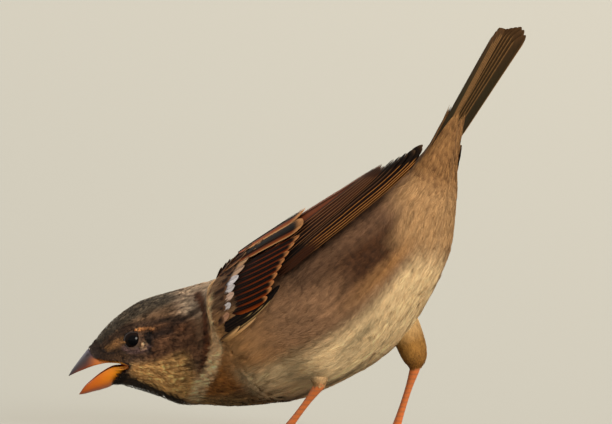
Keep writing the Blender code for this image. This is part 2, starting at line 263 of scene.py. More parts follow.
def head_point(forward, up, out):
    """Points from their places forward, up and out from the corner of the mouth."""
    forward, up, out = (np.asarray(v, float)[..., None] for v in (forward, up, out))
    return GAPE + AHEAD * forward + UP * up + LEFT * out


# Meshes from arrays


def link(obj):
    bpy.context.scene.collection.objects.link(obj)
    return obj


def lay_tint(mesh, tint):
    """Give a mesh one colour for each vertex."""
    rgba = np.ones((len(mesh.vertices), 4), np.float32)
    rgba[:, :3] = np.asarray(tint).reshape(-1, 3)
    mesh.color_attributes.new("tint", "FLOAT_COLOR", "POINT").data.foreach_set("color", rgba.ravel())


def mesh_from(name, points, faces_by_size, tint=None, ofbake=None):
    """A mesh object from points in millimetres and arrays of faces, each array of one face size."""
    mesh = bpy.data.meshes.new(name)
    points = np.asarray(points, np.float32).reshape(-1, 3) * MM
    mesh.vertices.add(len(points))
    mesh.vertices.foreach_set("co", points.ravel())
    loops = np.concatenate([f.ravel() for f in faces_by_size]).astype(np.int32)
    sizes = np.concatenate([np.full(len(f), f.shape[1]) for f in faces_by_size])
    mesh.loops.add(len(loops))
    mesh.loops.foreach_set("vertex_index", loops)
    mesh.polygons.add(len(sizes))
    starts = np.concatenate([[0], np.cumsum(sizes)[:-1]]).astype(np.int32)
    mesh.polygons.foreach_set("loop_start", starts)
    mesh.polygons.foreach_set("use_smooth", np.ones(len(sizes), bool))
    if tint is not None:
        lay_tint(mesh, tint)
    if ofbake is not None:
        values = np.asarray(ofbake, np.float32).reshape(-1, 2)[loops]
        mesh.uv_layers.new(name="OFBake").data.foreach_set("uv", values.ravel())
    mesh.update(calc_edges=True)
    mesh.validate()
    return link(bpy.data.objects.new(name, mesh))


def grid_faces(rows, cols, wrap=False):
    """Quads over a grid of rows by cols points."""
    i, j = np.meshgrid(np.arange(rows - 1), np.arange(cols if wrap else cols - 1), indexing="ij")
    k = (j + 1) % cols
    quads = np.stack([i * cols + j, i * cols + k, (i + 1) * cols + k, (i + 1) * cols + j], axis=-1)
    return quads.reshape(-1, 4)


def tube_faces(rows, cols):
    """Faces of a closed tube of so many rings: its wall and its two ends."""
    ring = np.arange(cols)[None, :]
    return [grid_faces(rows, cols, wrap=True), ring[:, ::-1], (rows - 1) * cols + ring]


def joined(parts):
    """The points and the face arrays of several (points, face arrays) as one."""
    verts, faces, start = [], [], 0
    for points, groups in parts:
        verts.append(points.reshape(-1, 3))
        faces += [group + start for group in groups]
        start += len(verts[-1])
    return np.concatenate(verts), faces


def ribbons(points, side, half, tint, uv):
    """Strips of two faces each, the last running to a point, for many paths of three points."""
    step = np.array([0, 0, 1, 1, 2])
    across = half[:, step] * np.array([-1, 1, -1, 1, 0])
    verts = points[:, step] + side[:, step] * across[..., None]
    start = np.arange(len(points))[:, None] * len(step)
    return verts, tint[:, step], uv[:, step], start + [0, 1, 3, 2], start + [2, 3, 4]


# Materials


def set_sockets(node, values):
    """Set constant values on a node's sockets, named with _ for a space."""
    for key, value in values.items():
        node.inputs[key.replace("_", " ")].default_value = value


def new_material(name, **values):
    """A material and its shader."""
    mat = bpy.data.materials.new(name)
    mat.use_nodes = True
    shader = mat.node_tree.nodes["Principled BSDF"]
    set_sockets(shader, values)
    return mat, shader


def tinted(name, roughness, bump=0.0, bump_size=4000.0, mottle=0.25, stretch=(1, 1, 1), **values):
    """A material coloured by the mesh's tint, broken up by fine noise and a noise bump."""
    mat, shader = new_material(name, Roughness=roughness, **values)

    def node(kind, **values):
        made = mat.node_tree.nodes.new(f"ShaderNode{kind}")
        set_sockets(made, values)
        return made

    tint = node("Attribute")
    tint.attribute_name = "tint"
    place = node("TexCoord")
    scale = node("Mapping", Scale=stretch)
    noise = node("TexNoise", Scale=bump_size, Detail=3.0)
    shade = node("MapRange", To_Min=1.0 - mottle, To_Max=1.0 + mottle)
    mix = node("VectorMath")
    mix.operation = "SCALE"
    joins = [
        (place, "Object", scale, "Vector"), (scale, "Vector", noise, "Vector"),
        (noise, "Fac", shade, "Value"), (tint, "Color", mix, "Vector"), (shade, "Result", mix, "Scale"),
        (mix, "Vector", shader, "Base Color"),
    ]
    if bump:
        relief = node("Bump", Strength=bump, Distance=0.2 * MM)
        joins += [(noise, "Fac", relief, "Height"), (relief, "Normal", shader, "Normal")]
    for source, output, target, socket in joins:
        mat.node_tree.links.new(source.outputs[output], target.inputs[socket])
    return mat


COAT = tinted("coat", 0.7, mottle=0.14, bump_size=2500, Specular_IOR_Level=0.18)
SKIN = tinted("skin", 0.75, bump=0.5, bump_size=3000)
VANE = tinted("vane", 0.6, mottle=0.16, bump_size=3500, Specular_IOR_Level=0.06)
BILL = tinted("bill", 0.34, bump=0.12, bump_size=900, mottle=0.1, stretch=(1, 1, 3), Coat_Weight=0.12)
MOUTH = tinted("mouth", 0.25, bump=0.2, bump_size=1500, mottle=0.12, Coat_Weight=0.4)
EYEBALL = tinted("eye", 0.04, mottle=0.05, Specular_IOR_Level=0.09)
SCALES = tinted("scales", 0.42, bump=0.25, bump_size=2600, mottle=0.12)
CLAW = tinted("claw", 0.32, bump=0.15, bump_size=1200, mottle=0.15)


def finish_piece(obj, mat, slot, *nodes):
    """Put a piece's material on, hang it from the root, and hide the solids it stands in for. The slot is
    not used.
    """
    obj.data.materials.append(mat)
    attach(obj, "root")
    if nodes:
        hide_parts(*nodes)


# Markings

# Patches: stations from and to, angles from and to, how many degrees it slants for each
# station, softness in stations and degrees, middle and edge colour of its feathers, strength.
PATCHES = (
    (-1, 14, -1, 181, 0, 0.3, 5, (128, 96, 70), (158, 122, 90), 1.0),  # all over
    (0, 5.8, -1, 44, -2, 0.5, 9, (33, 28, 25), (118, 103, 84), 1.0),  # crown
    (5.6, 7.6, -1, 62, 0, 0.6, 12, (128, 104, 86), (236, 208, 176), 1.0),  # nape
    (7.4, 9.8, -1, 40, 0, 0.5, 10, (34, 25, 20), (166, 120, 78), 1.0),  # mantle
    (9.8, 12.4, -1, 60, 0, 0.6, 20, (98, 76, 56), (140, 108, 80), 1.0),  # rump
    (3.4, 6.4, 60, 101, 2, 0.4, 6, (66, 42, 30), (148, 103, 72), 1.0),  # ear coverts
    (0, 3.4, 40, 94, 0, 0.4, 6, (34, 24, 20), (100, 70, 46), 0.9),  # lore
    (2.0, 5.4, 97, 150, -3, 0.4, 6, (196, 138, 78), (255, 204, 132), 1.0),  # lower cheek
    (5.0, 7.8, 104, 152, -22, 0.5, 10, (142, 86, 40), (206, 136, 66), 1.0),  # side of the breast
    (4.6, 7.4, 146, 181, 0, 0.5, 8, (150, 110, 66), (190, 148, 96), 1.0),  # breast
    (-0.2, 4.3, 126, 240, 11, 0.3, 4, (14, 11, 10), (98, 74, 52), 1.0),  # bib
    (7.0, 8.6, 84, 136, 0, 0.5, 8, (172, 124, 78), (206, 152, 96), 1.0),  # front of the flank
    (8.4, 9.9, 84, 132, 0, 0.5, 10, (150, 112, 82), (182, 138, 101), 1.0),  # flank
    (8.8, 10.8, 66, 106, 4, 0.4, 8, (88, 62, 45), (124, 90, 66), 0.9),  # flank under the wing
    (9.4, 10.7, 103, 134, 8, 0.35, 8, (56, 36, 23), (96, 61, 38), 1.0),  # dark flank
    (8.2, 10.8, 60, 86, 0, 0.3, 5, (40, 28, 20), (74, 50, 34), 0.9),  # in the wing's shade
    (9.5, 10.8, 133, 143, 10, 0.5, 6, (150, 102, 56), (200, 146, 88), 0.8),  # golden edge
    (7.2, 10.4, 138, 181, 10, 0.4, 9, (234, 202, 152), (248, 216, 166), 1.0),  # belly
    (10.35, 11.9, 118, 181, 0, 0.35, 10, (166, 126, 84), (200, 158, 110), 1.0),  # vent
    (10.8, 11.9, 90, 181, 0, 0.4, 14, (166, 126, 84), (198, 156, 108), 1.0),  # vent's sides
    (11.6, 13.6, 70, 181, 0, 0.4, 10, (104, 68, 40), (184, 136, 84), 1.0),  # under tail
    (11.6, 13.6, -1, 70, 0, 0.4, 10, (80, 58, 42), (122, 94, 68), 1.0),  # over tail
)

# Stripes: their line over (station, angle), half width and softness in millimetres, middle and
# edge colour, strength.
STRIPES = (
    # round the bill's base, and a pale patch on the lore
    (((0.2, 10), (0.5, 50), (1.1, 74), (1.8, 86)), 0.9, 0.6, (34, 27, 25), (74, 58, 50), 1.0),
    (((1.4, 62), (2.0, 63), (2.5, 62)), 0.8, 0.7, (112, 74, 42), (196, 142, 86), 0.85),
    # the crown's dark edge, and a brown and a dark line below it
    (((2.9, 47), (3.7, 51), (4.7, 55), (5.6, 60)), 1.1, 0.8, (40, 29, 25), (88, 64, 50), 0.85),
    (((4.1, 60), (4.9, 64), (5.7, 69)), 0.9, 0.9, (88, 52, 32), (150, 100, 66), 0.45),
    (((4.3, 67), (5.1, 64), (6.0, 60), (6.6, 56)), 0.7, 0.9, (40, 28, 22), (76, 54, 42), 0.85),
    # brow, and the dark feathers behind the eye
    (((3.55, 54.5), (3.85, 57.5), (4.25, 61)), 0.38, 0.4, (170, 100, 52), (240, 172, 108), 1.0),
    (((4.0, 64), (3.9, 70), (3.8, 76), (3.66, 81)), 1.15, 0.6, (15, 12, 11), (32, 25, 22), 1.0),
    (((3.8, 67), (4.4, 69), (5.0, 70)), 0.6, 0.7, (34, 25, 21), (68, 50, 42), 0.85),
    # greyish and pale feathers below the eye, and a dark line below them
    (((2.4, 74), (2.75, 80), (3.35, 81.5), (3.75, 78)), 0.6, 0.4, (64, 46, 44), (146, 112, 106), 0.9),
    (((3.44, 79), (3.56, 74)), 0.36, 0.3, (190, 142, 100), (240, 200, 158), 1.0),
    (((2.3, 95), (2.9, 88), (3.8, 86)), 0.5, 0.5, (52, 38, 32), (96, 70, 56), 0.7),
    # the bib's front edge
    (((1.85, 104), (1.5, 116), (1.25, 130), (0.7, 172)), 1.2, 0.5, (18, 14, 12), (48, 36, 29), 1.0),
    # the rufous collar, and the pale one behind it
    (((6.5, 36), (6.85, 55), (6.9, 68), (6.75, 81), (6.48, 96), (6.0, 110), (5.6, 122)), 1.1, 1.0,
     (46, 26, 17), (126, 72, 42), 0.95),
    (((7.7, 40), (7.75, 55), (7.7, 70), (7.45, 87), (6.8, 102), (6.2, 115), (5.5, 128), (4.9, 150)),
     1.6, 1.2, (248, 190, 134), (255, 222, 172), 1.0),
)


def near_line(line, s, a):
    """Distance in millimetres from each place on the body to a line over it."""
    steps = 16 * (len(line) - 1)
    path = curve(line, np.linspace(0, len(line) - 1, steps + 1))
    here = body.at(s, a)
    best = np.inf
    for p in body.at(*path.T):
        best = np.minimum(best, np.linalg.norm(here - p, axis=-1))
    return best


def markings(s, a):
    """Middle and edge colours of the feathers rooted at each place, in linear light."""
    a = from_back(a)
    layers = []
    for s0, s1, a0, a1, slant, soft_s, soft_a, mid_rgb, edge_rgb, strength in PATCHES:
        b = a - slant * (s - (s0 + s1) / 2)
        w = smooth(s0 - soft_s, s0 + soft_s, s) * (1 - smooth(s1 - soft_s, s1 + soft_s, s))
        w = w * smooth(a0 - soft_a, a0 + soft_a, b) * (1 - smooth(a1 - soft_a, a1 + soft_a, b))
        layers.append((w * strength, mid_rgb, edge_rgb))
    for line, half, soft, mid_rgb, edge_rgb, strength in STRIPES:
        w = 1 - smooth(half - soft / 2, half + soft, near_line(line, s, a))
        layers.append((w * strength, mid_rgb, edge_rgb))
    middle = edge = np.zeros(s.shape + (3,))
    for weight, mid_rgb, edge_rgb in layers:
        middle, edge = over(middle, mid_rgb, weight), over(edge, edge_rgb, weight)
    return middle, edge


def mark_body():
    """Middle and edge colours at every place of the body's own table."""
    s, a = np.meshgrid(np.linspace(0, LAST, body.rows), np.arange(181.0), indexing="ij")
    return [np.concatenate([layer, layer[:, -2:0:-1]], axis=1) for layer in markings(s, a)]


BODY_MIDDLE, BODY_EDGE = mark_body()
FINE_STREAKS = Streaks(0.28, 1.6, 0.16)
BROAD_STREAKS = Streaks(0.45, 5.0, 0.07)


def body_colours(s, a):
    """Middle and edge colours of the barbs that end at each place."""
    fine = FINE_STREAKS.at(s, a) * np.interp(s, (5.5, 8.0), (3.0, 1.0))
    streak = np.clip(1 + fine + BROAD_STREAKS.at(s, a), 0.2, 2.0)[..., None]
    return body.look(BODY_MIDDLE, s, a) * streak, body.look(BODY_EDGE, s, a) * streak


# Coat


def mouth_top(forward):
    """How high the bill's upper edge stands over the corner of the mouth."""
    return np.interp(forward, (-0.4, 1.8, 3.9, 5.8, 7.6, 9.2, 10.0), (0.2, 1.3, 1.8, 1.9, 2.5, 3.5, 4.8))


def on_bill(points):
    """True where the bill or the open mouth leaves the head bare."""
    forward, up, _ = head_place(points)
    return (forward > -0.4) & (up < mouth_top(forward)) & (up > -0.3 - 1.0 * forward)


THIGH_PLACE = (8.56, 153)  # station and angle at which the left thigh stands out of the body


def wing_low(s):
    """The angle of the folded wing's lower edge."""
    return np.interp(s, (6.9, 7.7, 8.45, 9.2, 9.8, 10.55, 12.0), (94, 99, 102, 96, 92, 86, 80))


def under_wing(s, a):
    """True where the folded wing hides the coat's roots."""
    b = from_back(a)
    front = np.interp(b, (30, 45, 65, 85, 98), (7.52, 7.68, 7.74, 7.66, 7.5))
    top = np.interp(s, (8.2, 8.6), (44, 32))
    return (s > front) & (s < 11.0) & (b > top) & (b < wing_low(s) - 16)


def coat_swell(s, a):
    """How far the coat rises over the front of the wings and over the left thigh, to overlap them."""
    b = from_back(a)
    front = smooth(6.5, 7.8, s) * smooth(26, 52, b) * (1 - smooth(84, 104, b)) * (1 - smooth(8.1, 9, s))
    thigh_s, thigh_a = THIGH_PLACE
    turned = (a - thigh_a + 180) % 360 - 180
    return 2.9 * front + 2.4 * np.exp(-((s - thigh_s) / 0.26) ** 2 - (turned / 18) ** 2)


# Zones of the coat: stations, spacing, feather length, half width, barbs, barb width, coat depth.
ZONES = {
    "face": (0.12, 2.6, 0.72, (1.5, 2.3), (0.50, 0.75), 18, 0.050, (0.55, 0.9)),
    "head": (2.6, 5.3, 0.90, (2.5, 3.8), (0.80, 1.15), 30, 0.058, (0.9, 1.2)),
    "neck": (5.3, 7.0, 1.15, (4.0, 5.4), (1.2, 1.7), 40, 0.070, (1.2, 1.4)),
    "breast": (7.0, 8.3, 1.45, (5.6, 6.6), (1.7, 2.1), 60, 0.085, (1.4, 1.5)),
    "belly_front": (8.3, 8.9, 1.45, (6.8, 7.2), (2.1, 2.2), 60, 0.090, (1.4, 1.4)),
    "belly_back": (8.9, 9.5, 1.45, (7.2, 7.5), (2.2, 2.2), 60, 0.090, (1.4, 1.4)),
    "vent_front": (9.5, 10.3, 1.45, (7.5, 7.6), (2.2, 2.0), 60, 0.088, (1.4, 1.3)),
    "vent_back": (10.3, 11.2, 1.45, (7.6, 7.6), (2.0, 1.9), 60, 0.085, (1.3, 1.2)),
    "tail_coverts": (11.2, 12.75, 1.15, (7.0, 7.5), (1.7, 1.5), 56, 0.075, (1.1, 0.5)),
}


def share(pair, f):
    """The value a share f of the way from the first of a pair to the second."""
    return pair[0] + (pair[1] - pair[0]) * f


ROOT_NOISE = 0.22  # how far roots stray, in spacings
ROW_STEP = 0.87  # from row to row, in spacings


def roots(surface, s0, s1, spacing):
    """Staggered places about spacing millimetres apart over a band of the surface."""
    found_s, found_a = [], []
    ring = np.arange(0, 360, 5.0)
    s = s0
    while s < s1:
        run, per_degree = surface.steps(np.full_like(ring, s), ring)
        count = max(6, int(per_degree.mean() * 360 / spacing))
        a = np.arange(count) + 0.5 * (len(found_a) % 2)
        found_a.append((a + rng.normal(0, ROOT_NOISE, count)) * 360 / count)
        found_s.append(s + rng.normal(0, ROOT_NOISE, count) * spacing / run.mean())
        s += spacing * ROW_STEP / run.mean()
    return np.concatenate(found_s), np.concatenate(found_a)


FAN_BACK = 0.42  # how far along a feather its outermost barbs end
BARB_TILT = 0.28  # radians, from one barb to another
BARB_ROUGH = 0.03  # millimetres that barbs stand out unevenly
BARB_SHAPE = np.array([0.8, 1.0, 0.0])  # widths at a barb's root, middle and tip
MAP_CELL = 0.003  # each feather's own part of the map


def fans(length, width, half):
    """Every barb's root, middle and tip, in millimetres along its feather and across it."""
    q = np.tile((np.arange(half) + 0.5) / half, 2)
    q = q + rng.uniform(-0.5, 0.5, (len(length), 2 * half)) / half
    theta = np.clip(q, 0, 1) * math.pi / 2
    size = length[:, None] * (1 + rng.normal(0, 0.05, q.shape))
    end_u = size * (FAN_BACK + (1 - FAN_BACK) * np.sin(theta))
    end_v = np.repeat((1, -1), half) * width[:, None] * np.cos(theta)
    end_v = end_v * (1 + rng.normal(0, 0.08, q.shape))
    start_u = np.maximum(end_u - size * rng.uniform(0.36, 0.52, q.shape), 0.05 * size)
    start_v = end_v * 0.30
    mid_u = (start_u + end_u) / 2
    mid_v = (start_v + end_v) / 2 + 0.10 * end_v
    return np.stack([start_u, mid_u, end_u], axis=-1), np.stack([start_v, mid_v, end_v], axis=-1)


def barb_tints(middle, edge, along, across, length):
    """From each feather's middle colour to its edge, uneven from feather to feather and barb to barb, and
    darker towards the roots as painted shade under the feathers before them.
    """
    rim = np.sqrt(across**2 + np.clip((along - FAN_BACK) / (1 - FAN_BACK), 0, 1.2) ** 2)
    rim = smooth(0.35, 0.95, rim)[..., None]
    tint = middle[:, :, None] * (1 - rim) + edge[:, :, None] * rim
    per_feather = np.interp(length, (2.5, 6.0), (0.16, 0.03))[:, None]
    uneven = 1 + per_feather * rng.normal(0, 1, per_feather.shape)
    uneven = uneven + rng.normal(0, 0.09, across.shape[:2])
    # painted shade: each barb darker towards its root, where it lies under the feathers before it
    shade = 0.86 + 0.14 * smooth(0.1, 0.7, along)
    return np.clip(tint * uneven[..., None, None] * shade[..., None], 0, 1)


def plumage(surface, s, a, length, width, barbs, thick, depth, turn, lift, colours, span):
    """Barbs of many small feathers, each rooted at (s, a), lying on the surface towards larger s.

    Every feather is a fan of ribbons whose tips draw a rounded vane. It starts at depth under
    the coat's outside and rises to it, so that each feather's tip covers the next one's root.
    Its cell of the map lies where its root is on the surface's own unwrap over the span.
    """
    u, v = fans(length, width, barbs // 2)
    run, per_degree = (step[:, None, None] for step in surface.steps(s, a))
    home_s, home_a, cos_t, sin_t = (x[:, None, None] for x in (s, a, np.cos(turn), np.sin(turn)))
    at_s = home_s + (u * cos_t - v * sin_t) / run
    at_a = home_a + (u * sin_t + v * cos_t) / per_degree
    across, along = v / width[:, None, None], u / length[:, None, None]
    sunk = depth[:, None, None] * (1 - smooth(0.0, 0.72, along))
    height = -sunk - 0.07 * width[:, None, None] * across**2
    height += lift[:, None, None] + rng.normal(0, BARB_ROUGH, u.shape[:2])[..., None]
    if surface is body:
        height = height + coat_swell(at_s, at_a)
    points = surface.at(at_s, at_a, height)
    normal = surface.normal(at_s, at_a)
    ahead = unit(points[..., 2, :] - points[..., 0, :])[:, :, None]
    side = unit(np.cross(normal, ahead))
    tilt = rng.normal(0, BARB_TILT, u.shape[:2])[..., None, None]
    side = side * np.cos(tilt) + normal * np.sin(tilt)
    ribbon = BARB_SHAPE * (thick / 2) * (1 + rng.normal(0, 0.15, u.shape[:2]))[..., None]
    tint = barb_tints(*colours(at_s[..., 2], at_a[..., 2]), along, across, length)

    low, high = span
    home = np.stack([(a % 360) / 360, (s - low) / (high - low)], axis=-1) * 0.99
    column = np.broadcast_to((np.arange(u.shape[1])[:, None] + 0.5) / u.shape[1], u.shape)
    cell = np.stack([column, np.broadcast_to([0.1, 0.5, 0.95], u.shape)], axis=-1)
    uv = home[:, None, None] + cell * MAP_CELL
    return ribbons(*(x.reshape((-1,) + x.shape[2:]) for x in (points, side, ribbon, tint, uv)))


def coat_piece(name, made, slot):
    verts, tint, uv, quads, tris = made
    finish_piece(mesh_from(name, verts, [quads, tris], tint, uv), COAT, slot)


def drift(s, a):
    """A slow wander in how the feathers lie, in radians."""
    a = np.radians(a)
    return 0.16 * np.sin(2.3 * s + 3 * a) + 0.12 * np.sin(5.1 * s - 2 * a + 1.0)


HEAD_SIDE = 3.0  # out from the head's middle, where the eyes begin
EYE_BARE = 0.25  # bare skin round the eye's opening
BILL_EDGE = ((0, 42), (0.43, 65), (0.98, 78), (1.83, 89), (2.15, 97))  # where feathers meet the bill
CHIN_EDGE = ((-1.95, 104), (-1.35, 124), (-0.48, 172))  # and the lower bill, by minus the station
BRISTLE_ROWS, BRISTLE_SPACING = (0.18, 0.34, 0.56, 0.8), 2.2  # stations, and degrees in a row
BRISTLE_LENGTH, BRISTLE_WIDTH, BRISTLE_DEPTH = 1.7, 0.42, 0.4


def near_eye(points):
    """Distance from the axis through both eyes, and out from the head's middle."""
    forward, up, out = head_place(points)
    return np.hypot(forward - EYE[0] - 0.15, up - EYE[1]), np.abs(out)


def bristle_places():
    """Stations, angles and turns: over the base of the bill, down its sides and on the chin."""
    found = []
    for i, station in enumerate(BRISTLE_ROWS):
        a = np.arange(-62, 62.1, BRISTLE_SPACING) + (i % 2) * BRISTLE_SPACING / 2
        found.append((np.full_like(a, station), a, math.pi - np.radians(a) * 0.25))
    side_s, chin_s = np.linspace(0.2, 1.8, 36), np.linspace(1.45, 0.5, 34)
    side_edge, chin_edge = np.interp(side_s, *zip(*BILL_EDGE)), np.interp(-chin_s, *zip(*CHIN_EDGE))
    side_turn, chin_turn = np.linspace(2.5, 1.7, 36), np.linspace(-2.5, -3.1, 34)
    for mirror in SIDES.values():
        for back in (3.0, 6.5, 10.0):
            found.append((side_s + 0.012 * back, mirror * (side_edge - back), mirror * side_turn))
        for back in (0.1, 0.28, 0.46):
            found.append((chin_s + back, mirror * (chin_edge + 0.8), mirror * chin_turn))
    return np.hstack(found)


def make_bristles():
    """Short dark feathers that point forward over the base of the bill, and down over its sides."""
    s, a, turn = bristle_places()
    n = len(a)
    s = s + rng.normal(0, 0.05, n)
    a = a + rng.normal(0, 1.0, n)
    turn = turn + rng.normal(0, 0.16, n)
    length = BRISTLE_LENGTH + rng.normal(0, 0.12, n)
    lift = rng.normal(0.05, 0.05, n)

    def colours(s, a):
        chin = smooth(98, 104, np.abs(a))
        dark = (0, (34, 27, 25)), (0.9, (40, 29, 24)), (2.2, (66, 46, 34))
        pale = (0, (104, 86, 76)), (0.9, (96, 70, 52)), (2.2, (140, 102, 70))
        return over(blend(s, *dark), (14, 11, 10), chin), over(blend(s, *pale), (64, 48, 36), chin)

    width, depth = np.full(n, BRISTLE_WIDTH), np.full(n, BRISTLE_DEPTH)
    made = plumage(body, s, a, length, width, 14, 0.05, depth, turn, lift, colours, (-1, 3))
    coat_piece("coat_bristles", made, "plumage_head")


def make_coat():
    """The coat, zone by zone, with the eyes and the bill left bare."""
    for name, (s0, s1, spacing, lengths, widths, barbs, thick, depths) in ZONES.items():
        s, a = roots(body, s0, s1, spacing)
        places = body.at(s, a)
        run, _ = body.steps(s, a)
        middles = body.at(s + 0.4 * share(lengths, 0.5) / run, a)
        keep = ~on_bill(places) & ~on_bill(middles) & ~under_wing(s, a)
        off, out = near_eye(middles)
        keep &= ~((off < EYE_OPENING + EYE_BARE) & (out > HEAD_SIDE))
        s, a = s[keep], a[keep]
        f = np.clip((s - s0) / (s1 - s0), 0, 1)
        length = share(lengths, f) * (1 + rng.normal(0, 0.07, len(s)))
        width = share(widths, f) * (1 + rng.normal(0, 0.07, len(s)))
        off, out = near_eye(body.at(s, a))
        close = (1 - smooth(2.0, 5.0, off)) * (out > HEAD_SIDE)
        length = length * (1 - 0.4 * close)
        width = width * (1 - 0.25 * close)
        turn = drift(s, a) + rng.normal(0, 0.10, len(s))
        lift = rng.normal(0.0, 0.045, len(s)) * share(depths, f) - 0.1
        made = plumage(
            body, s, a, length, width, barbs, thick, share(depths, f), turn, lift,
            body_colours, (s0 - 0.3, s1 + 0.3),
        )
        slot = "plumage_head" if s1 <= 7.0 else "plumage_body"
        coat_piece(f"coat_{name}", made, slot)


# Skin


SKIN_GRID, THIGH_GRID = (150, 112), (24, 48)  # rings, and points in each
# The open mouth's outline, forward and up from its corner, and how far the cut reaches out.
KNIFE = ((-1.2, -0.1), (2.0, 0.9), (9.0, 3.2), (14.0, 4.6), (16.0, -9.0), (4.6, -7.6), (1.2, -2.2))
KNIFE_HALF = 14.0


def skin_shells(thighs):
    """Closed tubes a little inside the coat: the body, then the thighs."""
    s, a = body.rings(*SKIN_GRID)
    depth = np.interp(s, (0, 2.6, 5.3, 8.3, 11.2, 12.4, 13), (0.4, 0.66, 1.0, 1.4, 1.3, 0.8, 0.5))
    shells = [(body.at(s, a, coat_swell(s, a) * 0.5 - depth), tube_faces(*SKIN_GRID))]
    for thigh in thighs.values():
        shells.append((thigh.at(*thigh.rings(*THIGH_GRID), -0.5), tube_faces(*THIGH_GRID)))
    return shells


def mouth_knife():
    """A prism across the head that cuts the open mouth out of the skin."""
    forward, up = np.array(KNIFE).T
    points = [head_point(forward, up, np.full(len(KNIFE), out)) for out in (-KNIFE_HALF, KNIFE_HALF)]
    return mesh_from("knife", points, tube_faces(2, len(KNIFE)))


def make_skin(thighs):
    """One skin under the whole coat, from the face to the tail coverts and down the thighs."""
    skin = mesh_from("skin", *joined(skin_shells(thighs)))
    knife = mouth_knife()
    cut = skin.modifiers.new("Mouth", "BOOLEAN")
    cut.object = knife
    cut.solver = "EXACT"
    remesh = skin.modifiers.new("Remesh", "REMESH")
    remesh.mode = "VOXEL"
    remesh.voxel_size = 0.55 * MM
    soften = skin.modifiers.new("Soften", "SMOOTH")
    soften.factor = 0.5
    soften.iterations = 4
    deps = bpy.context.evaluated_depsgraph_get()
    final = bpy.data.meshes.new_from_object(skin.evaluated_get(deps))
    skin.modifiers.clear()
    skin.data = final
    bpy.data.objects.remove(knife)
    final.shade_smooth()

    points = np.empty(len(final.vertices) * 3)
    final.vertices.foreach_get("co", points)
    lay_tint(final, skin_tint(points.reshape(-1, 3) / MM))
    finish_piece(skin, SKIN, "plumage_body", "head", "neck", "trunk", "thigh_left", "thigh_right")


def nearest_body(points):
    """The station and angle of the surface nearest to each point."""
    step_s, step_a = 6, 4
    table = body.table[::step_s, ::step_a]
    tree = kdtree.KDTree(table.shape[0] * table.shape[1])
    for k, p in enumerate(table.reshape(-1, 3)):
        tree.insert(p, k)
    tree.balance()
    found = np.array([tree.find(p)[1] for p in points])
    i, j = np.divmod(found, table.shape[1])
    return i * step_s / (body.rows - 1) * LAST, j * float(step_a)


def skin_tint(points):
    """The coat's own colours, darkened as painted shade under the coat, and red inside the mouth."""
    s, a = nearest_body(points)
    middle, edge = markings(s, a)
    # painted shade: the skin between and under the feathers is a darker copy of the coat's colours
    tint = (middle * 0.6 + edge * 0.4) * 0.75
    forward, up, out = head_place(points)
    inside = (forward > -1.6) & (up < mouth_top(forward) - 0.2) & (up > -0.4 - 0.8 * forward)
    inside &= (np.abs(out) < 4.6)
    return np.where(inside[:, None], linear((112, 22, 14)), tint)


# Legs

# Knee, calf, ankle and sole (x, y, z), and how far the foot turns, in degrees.
LEGS = {
    "left": ((-2.0, -8.0, 25.0), (3.4, -9.6, 18.5), (3.6, -10.4, 14.2), (-7.4, -11.2, 0.0), 8),
    "right": ((14.0, 7.5, 35.0), (20.6, 9.4, 24.8), (20.2, 10.0, 18.6), (12.3, 12.0, 0.0), -6),
}

THIGH_RADII = {"left": (3.3, 3.4, 3.0, 2.5, 2.1, 1.6), "right": (4.6, 4.4, 4.0, 3.6, 2.9, 1.8)}


def thigh_surfaces():
    """The outside of each thigh, from the knee to the ankle."""
    found = {}
    for side, (knee, calf, ankle, _, _) in LEGS.items():
        knee, calf, ankle = (np.array(p) + SHIFT for p in (knee, calf, ankle))
        f = np.array((0, 0.25, 0.5, 0.72, 0.88, 1.0))[:, None]
        path = (knee * (1 - f) + calf * f) * (1 - f) + (calf * (1 - f) + ankle * f) * f
        found[side] = Surface(tube_table(path, THIGH_RADII[side]), 1.0)
    return found


# Middle and edge colours down the thigh.
THIGH_COLOURS = {
    "left": (((0.6, (206, 172, 126)), (1, (150, 112, 70))), ((0.6, (230, 198, 150)), (1, (196, 154, 104)))),
    "right": (((0.2, (220, 182, 126)), (0.5, (140, 96, 46)), (1, (92, 56, 24))),
              ((0.2, (240, 206, 148)), (0.5, (196, 144, 70)), (1, (176, 116, 46)))),
}


def make_thigh_coats(thighs):
    """Feathers down each thigh, shorter and narrower towards the ankle."""
    for side, surface in thighs.items():
        s, a = roots(surface, 0.0, 0.93, 0.75)
        n = len(s)
        length = (5.2 - 3.4 * s) * (1 + rng.normal(0, 0.08, n))
        width = (1.3 - 0.7 * s) * (1 + rng.normal(0, 0.08, n))
        depth, lift = np.full(n, 0.6), np.full(n, -0.05)

        def colours(s, _, side=side):
            return [blend(s, *stops) for stops in THIGH_COLOURS[side]]

        made = plumage(
            surface, s, a, length, width, 26, 0.06, depth, drift(s, a), lift, colours, (0, 1)
        )
        coat_piece(f"coat_thigh_{side}", made, "plumage_body")


# Long feathers


def web_width(t, full, root, tip, blunt):
    """The width of one web along a feather: narrower at its root, and closing over its tip."""
    rise = root + (1 - root) * smooth(0.0, 0.3, t)
    past = np.clip(t - (1 - tip), 0, None) / tip
    return full * rise * np.clip(1 - past**2, 0, 1) ** blunt


BARB_OVERLAP = np.array([-0.25, 1.35])  # a barb's two edges, in pitches: barbs overlap
BARB_TWIST = np.array([-0.012, 0.018])  # and how high each edge lies
CELL_START, CELL_SIZE = np.array([0.08, 0.06]), np.array([0.84, 0.88])  # of each cell of the map


